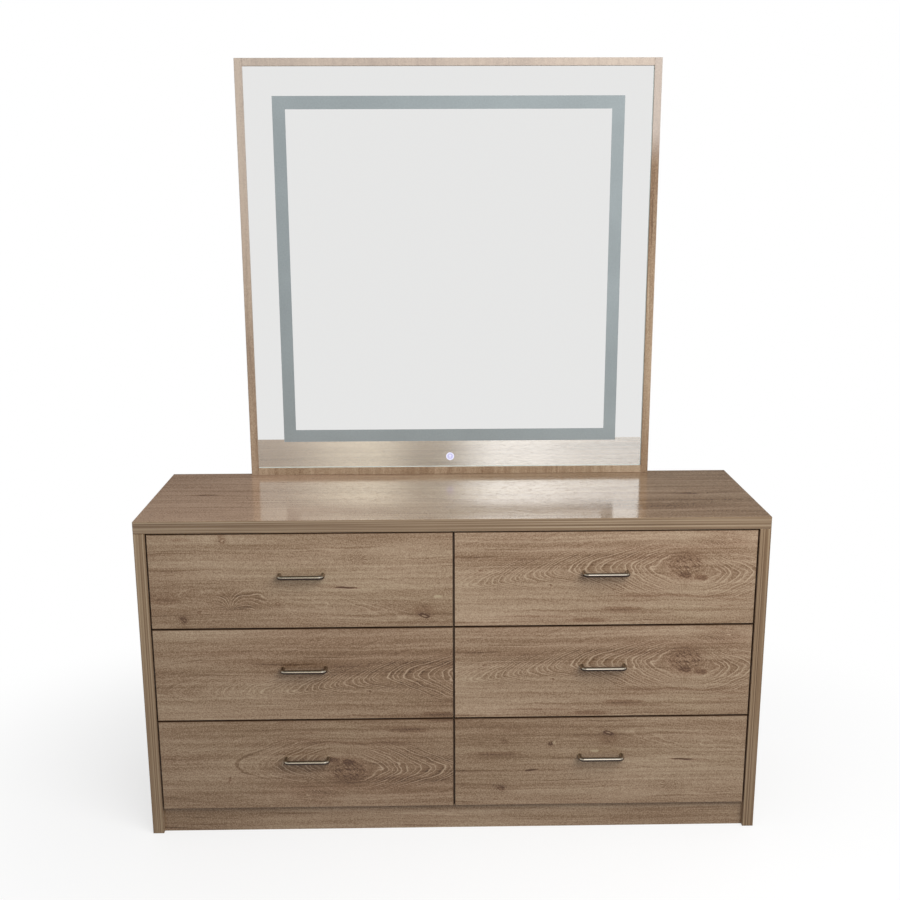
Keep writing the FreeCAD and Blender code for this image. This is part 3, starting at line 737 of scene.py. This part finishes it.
def make_piece(name, grids, material, body):
    """One object from closed ring grids of shape (rows, columns, 3), with every face outwards."""
    points, quads, triangles = [], [], []
    count = 0
    for grid in grids:
        rows, columns, _ = grid.shape
        part_points, part_quads, part_triangles = merged(grid.reshape(-1, 3), grid_faces(rows, columns))
        if volume(part_points, part_quads, part_triangles) < 0:
            part_quads, part_triangles = part_quads[:, ::-1], part_triangles[:, ::-1]
        points.append(part_points)
        quads.append(part_quads + count)
        triangles.append(part_triangles + count)
        count += len(part_points)
    mesh = bpy.data.meshes.new(name)
    faces = np.concatenate(quads).tolist() + np.concatenate(triangles).tolist()
    mesh.from_pydata(np.concatenate(points).tolist(), [], faces)
    mesh.polygons.foreach_set("use_smooth", np.ones(len(mesh.polygons), bool))
    mesh.set_sharp_from_angle(angle=SHARP_FROM)
    mesh.materials.append(material)
    mesh.update()
    piece = bpy.data.objects.new(name, mesh)
    bpy.context.scene.collection.objects.link(piece)
    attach(piece, body)
    return piece


def revolved(profile, centre, sides, recess=0.0):
    """A profile of (radius, height) turned about Y through a centre, height towards +Y.

    recess sinks a cross into the top: each point inside the cross's arms goes down by that depth.
    """
    radius, height = np.asarray(profile, float).T
    turn = 2 * np.pi * np.arange(sides) / sides
    x = radius[:, None] * np.cos(turn)
    z = radius[:, None] * np.sin(turn)
    y = np.repeat(height[:, None], sides, 1)
    if recess:
        reach = radius.max()
        arm = np.minimum(np.abs(x), np.abs(z)) < reach * CROSS_HALF
        inside = arm & (np.hypot(x, z) < reach * CROSS_LENGTH) & (y > height.max() * CROSS_FROM)
        y = np.where(inside, y - recess, y)
    return np.stack([x, y, z], -1) + np.asarray(centre, float)


def swept(path, radii, upright, sides):
    """A round section of given radii carried along a path that lies square to one direction.

    Each ring is the path's point plus radius times (cos turn * sideways + sin turn * upright),
    where sideways is square to the path's direction.
    """
    ahead = np.gradient(path, axis=0)
    ahead /= np.linalg.norm(ahead, axis=1, keepdims=True)
    sideways = np.cross(ahead, upright)
    turn = (2 * np.pi * np.arange(sides) / sides)[None, :, None]
    ring = np.cos(turn) * sideways[:, None] + np.sin(turn) * np.asarray(upright, float)
    return path[:, None] + radii[:, None, None] * ring


def pan_screw(tip, seat, head_radius, shank_radius, head_height):
    """A pan-head screw along Y: the profile runs from the tip up the shank, out and over the head.

    The head's side is radius * cos(turn)^0.6 wide at height * (0.45 + 0.55 * sin(turn)), and its flat
    top has rings close enough for the cross.
    """
    length = seat[1] - tip[1]
    over = np.linspace(0, np.pi / 2, 6)[:-1]
    side = [(head_radius * np.cos(a) ** 0.6, head_height * (0.45 + 0.55 * np.sin(a))) for a in over]
    top = [(head_radius * share, head_height) for share in (0.55, 0.4, 0.27, 0.14, 0.0)]
    point = [(0, -length), (shank_radius * 0.5, -length), (shank_radius, -length + shank_radius)]
    profile = point + [(shank_radius, 0), (head_radius, 0)] + side + top
    return revolved(profile, seat, 32, recess=head_height * 0.55)


def facing_side(grid, centre, outward):
    """A turned shape made about Y at the origin, put at a centre with its top looking along X."""
    return np.stack([grid[..., 1] * outward, grid[..., 0], grid[..., 2]], -1) + np.asarray(centre, float)


# ---------------------------------------------------------------- metals and plastics

# How often a metal's fine marks change in a metre along X, Y and Z: drawn rod, rolled runners, and
# small parts that are tumbled or cast.
DRAWN_ALONG_X = (40.0, 900.0, 900.0)
DRAWN_ALONG_Y = (900.0, 30.0, 900.0)
TUMBLED = (500.0, 500.0, 500.0)
CAST = (300.0, 300.0, 300.0)
SCREW_ZINC = (0.60, 0.61, 0.62)


def metal(name, colour, roughness, lines_often, wear=0.10, painted_shade=None):
    """Metal with fine lines and slow changes in polish.

    painted_shade is a dark colour painted as shade on the underside, and partly along the very top, so that
    only a band facing up and forward keeps the metal's own colour.
    """
    material, g, shader = new_material(name, colour)
    place = object_place(g)
    lines = g.noise(g.vector("MULTIPLY", place, lines_often))
    slow = g.even_noise(place, 60.0, 3.0)
    tint = g.tinted(colour, g.total(1.0, (lines, wear), (slow, wear)))
    if painted_shade:
        # painted shade: the rod is darkened by its normal's height, so only a band facing up and forward
        # stays bright
        up = g.separate(g.add("TexCoord").outputs["Normal"])[2]
        lit_band = g.math("MULTIPLY", g.step(up, 0.10, 0.32), g.step(up, 1.15, 0.80))
        tint = g.mix_colour(lit_band, solid(painted_shade), tint)
    shader.inputs["Metallic"].default_value = 1.0
    g.put(shader.inputs["Base Color"], tint)
    g.put(shader.inputs["Roughness"], g.total(roughness, (lines, 0.10), (slow, 0.12)))
    g.put(shader.inputs["Normal"], g.bump(lines, 0.15, 0.00005))
    return material


def plastic(name, colour, roughness):
    """Moulded plastic with a fine spark-eroded skin."""
    material, g, shader = new_material(name, colour)
    skin = g.even_noise(object_place(g), 900.0)
    slow = g.even_noise(object_place(g), 30.0)
    g.put(shader.inputs["Base Color"], g.tinted(colour, g.total(1.0, (slow, 0.10))))
    shader.inputs["Roughness"].default_value = roughness
    g.put(shader.inputs["Normal"], g.bump(skin, 0.2, 0.0001))
    return material


# ---------------------------------------------------------------- pulls

# Rings along a pull's leg, round its bend and along half its grip, and the small step that gives the
# rod's closed ends a direction.
LEG_RINGS, BEND_RINGS, GRIP_RINGS = 5, 14, 8
END_STEP = 1e-6


class DRESSER_OT_pulls(bpy.types.Operator):
    """Six bent rod pulls with their screws"""

    bl_idname = "dresser.pulls"
    bl_label = "Pulls"

    def execute(self, context):
        pull, hardware = settings("pull"), settings("hardware")
        # the pulls' nickel carries painted shade on its underside and top
        nickel = metal("satin_nickel", pull.nickel, 0.18, DRAWN_ALONG_X, painted_shade=pull.painted_shade)
        zinc = metal("screw_zinc", SCREW_ZINC, 0.32, TUMBLED)
        radius, half = pull.rod / 2, pull.centres / 2
        turn = np.linspace(0, np.pi / 2, BEND_RINGS)
        for drawer in DRAWERS:
            node = "handle_" + drawer
            centre = middle(node)
            front_low, front_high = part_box("drawer_front_" + drawer)
            face, inner = front_low.y, front_high.y
            grip = face - pull.reach + radius
            # leg, quarter turn and grip to the middle, then the same mirrored
            bend_x = -half + pull.bend * (1 - np.cos(turn))
            bend_y = grip + pull.bend * (1 - np.sin(turn))
            leg_y = np.linspace(face, grip + pull.bend, LEG_RINGS + 1)[:-1]
            grip_x = np.linspace(-half + pull.bend, 0, GRIP_RINGS + 1)[1:]
            x = np.concatenate([np.full(LEG_RINGS, -half), bend_x, grip_x])
            y = np.concatenate([leg_y, bend_y, np.full(GRIP_RINGS, grip)])
            x, y = np.concatenate([x, -x[-2::-1]]), np.concatenate([y, y[-2::-1]])
            path = np.stack([centre.x + x, y, np.full(len(x), centre.z)], -1)
            # each end stands twice, the second time with no radius, so the rod is closed
            path = np.concatenate([path[:1], path, path[-1:]])
            path[[0, -1], 1] += END_STEP
            radii = np.full(len(path), radius)
            radii[[0, -1]] = 0.0
            rod = swept(path, radii, (0.0, 0.0, 1.0), pull.sides)
            piece = make_piece("pull_" + drawer, [rod], nickel, "drawer_" + drawer)
            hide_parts(node)
            screws = [
                pan_screw((x, face + MM, centre.z), (x, inner, centre.z),
                          hardware.screw_head / 2, hardware.screw_shank / 2, hardware.head_height)
                for x in (centre.x - half, centre.x + half)
            ]
            make_piece("pull_screws_" + drawer, screws, zinc, "drawer_" + drawer)
        return {"FINISHED"}


# ---------------------------------------------------------------- mirror

# Half the width over which the band's and the mark's edges blur.
SOFT = 0.4 * MM
# A painted glint, a pale line standing in for light caught on the glass's edge along the right and
# lower edges, is full up to the first distance and ends at the second. The band's ground edges darken over
# the last stretch.
GLINT_FULL, GLINT_ENDS = 1.4 * MM, 2.2 * MM
GROUND_EDGE = 1.6 * MM
# The first colour is the painted glint along the glass's edge; the second, the band's darker ground edges.
EDGE_GLINT, GROUND = (0.66, 0.74, 0.72), (0.13, 0.17, 0.18)
MARK_BODY, MARK_LIT = (0.22, 0.22, 0.26), (0.80, 0.80, 1.0)
# The touch mark's ring, and the bulb and foot of its lamp shape, as shares of the mark's radius: how
# far up their middles are, and how far from there each is full and ends.
RING_ENDS, RING_FULL = 0.66, 0.76
BULB_UP, BULB_SIZE = 0.14, (0.24, 0.36)
FOOT_UP, FOOT_WIDTH, FOOT_HEIGHT = -0.34, (0.10, 0.18), (0.08, 0.16)


class DRESSER_OT_mirror(bpy.types.Operator):
    """Mirror glass with its frosted band and touch mark, and the light's pieces"""

    bl_idname = "dresser.mirror"
    bl_label = "Mirror"

    def execute(self, context):
        mirror = settings("mirror")
        opening_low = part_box("mirror_frame_bottom")[1].z
        opening_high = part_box("mirror_frame_top")[0].z
        opening_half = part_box("mirror_frame_right")[0].x
        half_height = (opening_high - opening_low) / 2
        material, g, shader = new_material("mirror_glass", mirror.silver)
        x, _, z = g.separate(object_place(g))
        z = g.math("SUBTRACT", z, opening_low + half_height)

        # the band: distance inside a rectangle that is inset from the frame's opening
        from_side = g.math("SUBTRACT", opening_half - mirror.band_inset, g.math("ABSOLUTE", x))
        from_end = g.math("SUBTRACT", half_height - mirror.band_inset, g.math("ABSOLUTE", z))
        outer = g.math("MINIMUM", from_side, from_end)
        band = g.math("MULTIPLY", g.step(outer, -SOFT, SOFT),
                      g.fall(outer, mirror.band_width - SOFT, mirror.band_width + SOFT))
        right_or_foot = g.math("MINIMUM", g.math("SUBTRACT", opening_half, x), g.math("ADD", half_height, z))
        # painted glint: a pale line along the glass's right and lower edges
        edge_glint = g.fall(right_or_foot, GLINT_FULL, GLINT_ENDS)

        # touch mark: a lit ring round a small lamp shape
        size = mirror.touch_radius

        def within(distance, limits):
            """One where a distance from a shape's middle is under its limits, with a soft edge."""
            return g.fall(distance, size * limits[0], size * limits[1])

        mark_z = g.math("SUBTRACT", z, mirror.touch_height - half_height)
        away = g.vector("LENGTH", g.combine(x, mark_z))
        disc = g.fall(away, size - SOFT, size + SOFT)
        ring = g.math("MULTIPLY", disc, g.step(away, size * RING_ENDS, size * RING_FULL))
        bulb = within(g.vector("LENGTH", g.combine(x, g.math("SUBTRACT", mark_z, size * BULB_UP))), BULB_SIZE)
        foot_z = g.math("ABSOLUTE", g.math("SUBTRACT", mark_z, size * FOOT_UP))
        foot = g.math("MULTIPLY", within(g.math("ABSOLUTE", x), FOOT_WIDTH), within(foot_z, FOOT_HEIGHT))
        lit = g.math("MAXIMUM", ring, g.math("MAXIMUM", bulb, foot))

        matt = g.math("MAXIMUM", g.math("MAXIMUM", band, edge_glint), disc)
        grit = g.even_noise(object_place(g), 330.0)
        haze = g.even_noise(object_place(g), 7.0, 3.0)
        frost = g.tinted(mirror.frost, g.total(1.0, (grit, 0.42), (haze, 0.30)))
        # the band's ground edges are a shade darker
        half_band = mirror.band_width / 2
        off_middle = g.math("ABSOLUTE", g.math("SUBTRACT", outer, half_band))
        ground = g.step(off_middle, half_band - GROUND_EDGE, half_band, 0.0, 0.35)
        frost = g.mix_colour(ground, frost, solid(GROUND))
        colour = g.mix_colour(band, solid(mirror.silver), frost)
        colour = g.mix_colour(edge_glint, colour, solid(EDGE_GLINT))
        colour = g.mix_colour(disc, colour, solid(MARK_BODY))
        g.put(shader.inputs["Base Color"], colour)
        g.put(shader.inputs["Metallic"], g.math("SUBTRACT", 1.0, matt))
        g.put(shader.inputs["Roughness"], g.total(0.012, (matt, 0.5)))
        g.put(shader.inputs["Emission Color"], g.mix_colour(lit, solid(mirror.glow), solid(MARK_LIT)))
        g.put(shader.inputs["Emission Strength"], g.total(0.0, (disc, 0.66), (lit, 0.14)))
        dress(["mirror_glass"], material)

        dress(["glazing_pads"], plastic("black_foam", (0.035, 0.035, 0.035), 0.9))
        dress(["touch_switch"], plastic("black_plastic", (0.03, 0.03, 0.03), 0.5))
        dress(["light_driver"], plastic("white_plastic", (0.78, 0.78, 0.75), 0.4))
        dress(["light_strips"], plastic("milky_strip", (0.80, 0.80, 0.74), 0.3))
        return {"FINISHED"}


# ---------------------------------------------------------------- runners and small hardware

# Thickness of the runners' members. The balls: from the case board, from the runner's middle, from
# one to the next, and how many to a race.
RUNNER_SHEET = 1.2 * MM
BALL_FROM_CASE, BALL_FROM_MIDDLE = 5.1 * MM, 20.1 * MM
BALL_STEP, BALLS = 10.0 * MM, 26
# Screws of a drawer member: the first from the drawer's front, the step, how many, length and head.
SCREW_FIRST, SCREW_STEP, SCREWS = 35 * MM, 128 * MM, 3
SCREW_LENGTH, SCREW_HEAD = 10 * MM, 2.2 * MM
# Cams: from the drawer's front and its edges, depth in the board, where the rim starts to round, height
# over the board, and depth of the cross.
CAM_FROM_FRONT, CAM_FROM_EDGE = 24 * MM, 27 * MM
CAM_DEPTH, CAM_FOOT, CAM_PROUD, CAM_CROSS = 6 * MM, 0.1 * MM, 0.35 * MM, 1.2 * MM
# Pins: from the back panels' edges, and from their upper and lower ends.
PIN_FROM_EDGE, PIN_FROM_END = 9 * MM, 20 * MM


class DRESSER_OT_runners(bpy.types.Operator):
    """Zinc-plated runners with their balls and screws, and the cams that hold the drawer fronts"""

    bl_idname = "dresser.runners"
    bl_label = "Runners"

    def execute(self, context):
        # the case boards' faces beside the drawers
        walls = (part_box("side_panel_left")[1].x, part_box("centre_divider")[0].x,
                 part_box("centre_divider")[1].x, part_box("side_panel_right")[0].x)
        zinc = metal("runner_zinc", (0.62, 0.64, 0.66), 0.30, DRAWN_ALONG_Y, 0.14)
        dress(["runner_case_members"], zinc)
        for drawer in DRAWERS:
            dress(["runner_mid_members_" + drawer, "runner_drawer_members_" + drawer], zinc)

        hardware = settings("hardware")
        steel = metal("ball_steel", (0.72, 0.73, 0.74), 0.10, TUMBLED)
        screw_zinc = metal("runner_screw_zinc", SCREW_ZINC, 0.32, TUMBLED)
        cast_zinc = metal("cast_zinc", (0.42, 0.42, 0.43), 0.42, CAST, 0.2)
        head, shank = hardware.screw_head / 2, hardware.screw_shank / 2
        screw = pan_screw((0.0, -SCREW_LENGTH, 0.0), (0.0, 0.0, 0.0), head, shank, SCREW_HEAD)
        turn = np.linspace(-np.pi / 2, np.pi / 2, 6)
        ball = revolved(np.stack([np.cos(turn), np.sin(turn)], -1) * hardware.ball / 2, (0.0, 0.0, 0.0), 8)
        rim = hardware.cam / 2
        cam_side = [(0.0, -CAM_DEPTH), (rim, -CAM_DEPTH), (rim, CAM_FOOT), (rim * 0.93, CAM_PROUD)]
        cam_top = [(rim * share, CAM_PROUD) for share in (0.7, 0.55, 0.42, 0.3, 0.18, 0.08, 0.0)]
        cam = revolved(cam_side + cam_top, (0.0, 0.0, 0.0), 32, recess=CAM_CROSS)
        for drawer in DRAWERS:
            low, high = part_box("drawer_box_" + drawer)
            height = middle("runner_drawer_members_" + drawer).z
            mid_low, mid_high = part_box("runner_mid_members_" + drawer)
            along = (mid_low.y + mid_high.y) / 2 + BALL_STEP * (np.arange(BALLS) - (BALLS - 1) / 2)
            screws, balls, cams = [], [], []
            for face, outward in ((low.x, -1), (high.x, 1)):
                wall = min(walls, key=lambda x: abs(x - face))
                seat = face + outward * RUNNER_SHEET
                for n in range(SCREWS):
                    y = low.y + SCREW_FIRST + SCREW_STEP * n
                    screws.append(facing_side(screw, (seat, y, height), outward))
                for way in (-1, 1):
                    balls += [ball + (wall - outward * BALL_FROM_CASE, y, height + way * BALL_FROM_MIDDLE)
                              for y in along]
                for z in (low.z + CAM_FROM_EDGE, high.z - CAM_FROM_EDGE):
                    cams.append(facing_side(cam, (face, low.y + CAM_FROM_FRONT, z), outward))
            make_piece("runner_screws_" + drawer, screws, screw_zinc, "drawer_" + drawer)
            make_piece("runner_balls_" + drawer, balls, steel, "runners_" + drawer)
            make_piece("drawer_cams_" + drawer, cams, cast_zinc, "drawer_" + drawer)
        return {"FINISHED"}


class DRESSER_OT_small_hardware(bpy.types.Operator):
    """Post screws and the pins of the back panels"""

    bl_idname = "dresser.small_hardware"
    bl_label = "Small hardware"

    def execute(self, context):
        hardware = settings("hardware")
        zinc = metal("fastener_zinc", SCREW_ZINC, 0.34, TUMBLED)
        mesh = NODES["post_screws"].data
        points = np.empty(len(mesh.vertices) * 3)
        mesh.vertices.foreach_get("co", points)
        points = points.reshape(-1, 3)
        post_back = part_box("mirror_posts")[1].y
        head, shank = hardware.screw_head / 2, hardware.screw_shank / 2
        screws = []
        # two screws, one over the other, on each side
        for side in (-1, 1):
            own = points[np.sign(points[:, 0]) == side]
            split = (own[:, 2].min() + own[:, 2].max()) / 2
            for group in (own[own[:, 2] < split], own[own[:, 2] >= split]):
                low, high = group.min(0), group.max(0)
                x, z = (low[0] + high[0]) / 2, (low[2] + high[2]) / 2
                tip, seat = (x, low[1], z), (x, post_back, z)
                screws.append(pan_screw(tip, seat, head, shank, hardware.head_height))
        piece = make_piece("round_post_screws", screws, zinc, "case")
        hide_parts("post_screws")

        # pins round both back panels
        low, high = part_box("back_panels")
        columns = (low.x + PIN_FROM_EDGE, -PIN_FROM_EDGE, PIN_FROM_EDGE, high.x - PIN_FROM_EDGE)
        count = int((high.z - low.z) / hardware.pin_step) + 1
        heights = np.linspace(low.z + PIN_FROM_END, high.z - PIN_FROM_END, count)
        places = [(x, z) for x in columns for z in heights]
        across = int((high.x - 2 * PIN_FROM_EDGE) / hardware.pin_step)
        between = np.linspace(PIN_FROM_EDGE, high.x - PIN_FROM_EDGE, across)[1:-1]
        places += [(side * x, low.z + PIN_FROM_EDGE) for side in (-1, 1) for x in between]
        radius = hardware.pin / 2
        dome = radius * np.array([(0.0, 0.0), (1.0, 0.0), (0.8, 0.35), (0.4, 0.55), (0.0, 0.6)])
        pins = [revolved(dome, (x, high.y, z), 10) for x, z in places]
        make_piece("back_pins", pins, zinc, "case")
        return {"FINISHED"}


# ---------------------------------------------------------------- stage

# What gloss and mirror see of the room in front: its walls, and three windows by direction to the
# side. A window has the four directions between which it brightens and dims, and the light that it
# adds to the walls.
ROOM_WALLS = (0.85, 0.85, 0.77)
ROOM_WINDOWS = (
    ((-0.140, -0.060, -0.050, -0.005), (1.25, 1.14, 0.90)),
    ((0.005, 0.060, 0.090, 0.190), (2.25, 2.28, 2.28)),
    ((0.110, 0.180, 0.500, 0.600), (1.30, 1.35, 1.40)),
)
WHITE = (1.0, 1.0, 1.0, 1.0)
# The floor disc: its rings' radii, its sides, how far it lies under the feet, and what it looks like
# to soft light that it throws back.
FLOOR_RADII, FLOOR_SIDES, FLOOR_DROP = (0.0, 1.0, 2.0, 3.2), 64, 0.5 * MM
FLOOR_THROWS = (0.18, 0.18, 0.18)
# The soft light's place, the spot that it looks at and its size. The camera's place, and its turns
# about X, Y and Z in degrees.
LIGHT_PLACE, LIGHT_AIM, LIGHT_SIZE = (1.2, -2.05, 2.45), (0.0, 0.0, 0.65), (2.6, 1.8)
CAMERA_PLACE, CAMERA_TURNS = (-0.04824, -2.60237, 1.47081), (76.8135, 0.1903, -1.028)


class DRESSER_OT_stage(bpy.types.Operator):
    """Floor, light and camera"""

    bl_idname = "dresser.stage"
    bl_label = "Stage"

    def execute(self, context):
        stage = settings("stage")
        scene = context.scene
        scene.view_settings.view_transform = "Standard"

        # floor: a disc that fades into the plain background
        material, g, shader = new_material("floor", stage.floor)
        shader.inputs["Roughness"].default_value = 0.9
        shader.inputs["Specular IOR Level"].default_value = 0.0
        path = g.add("LightPath")
        in_gloss = g.math("MAXIMUM", path.outputs["Is Glossy Ray"], path.outputs["Is Transmission Ray"])
        seen = g.math("MAXIMUM", path.outputs["Is Camera Ray"], in_gloss)
        shade = g.even_noise(object_place(g), 1.5)
        own = g.tinted(stage.floor, g.total(1.0, (shade, 0.01)))
        g.put(shader.inputs["Base Color"], g.mix_colour(seen, solid(FLOOR_THROWS), own))
        away = g.vector("LENGTH", g.vector("MULTIPLY", object_place(g), (0.75, 1.0, 0.0)))
        fade = g.math("MULTIPLY", g.step(away, 0.55, 1.25, 0.68, 1.0), seen)
        glow = g.add("Emission", {"Color": WHITE, "Strength": 1.0})
        blend = g.add("MixShader", {0: fade, 1: shader.outputs[0], 2: glow.outputs[0]})
        outputs = [node for node in material.node_tree.nodes if node.bl_idname == "ShaderNodeOutputMaterial"]
        g.put(outputs[0].inputs["Surface"], blend.outputs[0])
        radius = np.array(FLOOR_RADII)[:, None]
        turn = 2 * np.pi * np.arange(FLOOR_SIDES) / FLOOR_SIDES
        x, y = radius * np.cos(turn), radius * np.sin(turn)
        points = np.stack([x, y, np.full(x.shape, -FLOOR_DROP)], -1).reshape(-1, 3)
        points, quads, triangles = merged(points, grid_faces(*x.shape))
        mesh = bpy.data.meshes.new("floor")
        mesh.from_pydata(points.tolist(), [], quads.tolist() + triangles.tolist())
        mesh.materials.append(material)
        floor = bpy.data.objects.new("floor", mesh)
        scene.collection.objects.link(floor)

        # surroundings: white to the camera, even for soft light, and a bright room in front for gloss
        world = bpy.data.worlds.new("surroundings")
        world.use_nodes = True
        world.node_tree.nodes.clear()
        g = Graph(world.node_tree)
        path = g.add("LightPath")
        dx, dy, dz = g.separate(g.add("TexCoord").outputs["Generated"])
        in_front = g.step(dy, 0.10, -0.10)
        room = ROOM_WALLS
        for (dim, bright, still_bright, dim_again), colour in ROOM_WINDOWS:
            glass = g.math("MULTIPLY", g.step(dx, dim, bright), g.step(dx, dim_again, still_bright))
            room = g.vector("MULTIPLY_ADD", g.combine(glass, glass, glass), colour, room)
        raised = g.math("MULTIPLY", g.step(dz, 0.13, 0.20), in_front)
        before = g.step(dz, 0.60, 0.80, 1.0, 0.12)
        behind = g.math("ADD", g.step(dz, 0.35, 0.60, 0.0, 0.04), g.step(dx, -0.3, 0.3, 0.09, 0.17))
        glossy = path.outputs["Is Glossy Ray"]
        seen = g.math("MAXIMUM", path.outputs["Is Camera Ray"], path.outputs["Is Transmission Ray"])
        level = g.mix(glossy, stage.ambient, g.mix(in_front, behind, before))
        level = g.mix(seen, level, 1.0)
        colour = g.mix_colour(g.math("MULTIPLY", glossy, raised), WHITE, room)
        light = g.add("Background", {"Color": colour, "Strength": level})
        sink = g.add("OutputWorld")
        g.put(sink.inputs["Surface"], light.outputs[0])
        scene.world = world

        # one large soft light, high in front and to the right
        lamp = bpy.data.lights.new("soft_light", "AREA")
        lamp.shape = "RECTANGLE"
        lamp.size, lamp.size_y = LIGHT_SIZE
        lamp.energy = stage.key_power
        lamp_object = bpy.data.objects.new("soft_light", lamp)
        lamp_object.location = LIGHT_PLACE
        lamp_object.visible_glossy = False
        aim = np.array(LIGHT_AIM) - np.array(LIGHT_PLACE)
        tilt = math.acos(-aim[2] / np.linalg.norm(aim))
        lamp_object.rotation_euler = (tilt, 0.0, math.atan2(-aim[0], aim[1]))
        scene.collection.objects.link(lamp_object)

        camera = bpy.data.cameras.new("camera")
        camera.sensor_width = 36.0
        camera.lens = stage.lens
        camera.clip_start, camera.clip_end = 0.05, 50.0
        camera_object = bpy.data.objects.new("camera", camera)
        camera_object.location = CAMERA_PLACE
        camera_object.rotation_euler = [math.radians(angle) for angle in CAMERA_TURNS]
        scene.collection.objects.link(camera_object)
        scene.camera = camera_object
        return {"FINISHED"}


class DRESSER_PT_panel(bpy.types.Panel):
    """Settings and steps of the dresser"""

    bl_label = "Dresser with mirror"
    bl_idname = "DRESSER_PT_panel"
    bl_space_type = "VIEW_3D"
    bl_region_type = "UI"
    bl_category = "Dresser"

    def draw(self, context):
        layout = self.layout
        for group, kind in SETTINGS.items():
            box = layout.box()
            box.label(text=group.capitalize())
            for name in kind.__annotations__:
                box.prop(settings(group), name)
        for step in STEPS:
            layout.operator(step.bl_idname)


SETTINGS = {
    "oak": OakSettings,
    "pull": PullSettings,
    "mirror": MirrorSettings,
    "hardware": HardwareSettings,
    "stage": StageSettings,
}
STEPS = (
    DRESSER_OT_oak_boards,
    DRESSER_OT_inner_boards,
    DRESSER_OT_pulls,
    DRESSER_OT_mirror,
    DRESSER_OT_runners,
    DRESSER_OT_small_hardware,
    DRESSER_OT_stage,
)
CLASSES = tuple(SETTINGS.values()) + STEPS + (DRESSER_PT_panel,)


def register():
    for kind in CLASSES:
        bpy.utils.register_class(kind)
    for group, kind in SETTINGS.items():
        setattr(bpy.types.Scene, "dresser_" + group, PointerProperty(type=kind))


def unregister():
    for group in SETTINGS:
        delattr(bpy.types.Scene, "dresser_" + group)
    for kind in reversed(CLASSES):
        bpy.utils.unregister_class(kind)


def main():
    """Runs every step in order."""
    register()
    for step in STEPS:
        group, name = step.bl_idname.split(".")
        getattr(getattr(bpy.ops, group), name)()


if __name__ == "__main__":
    main()
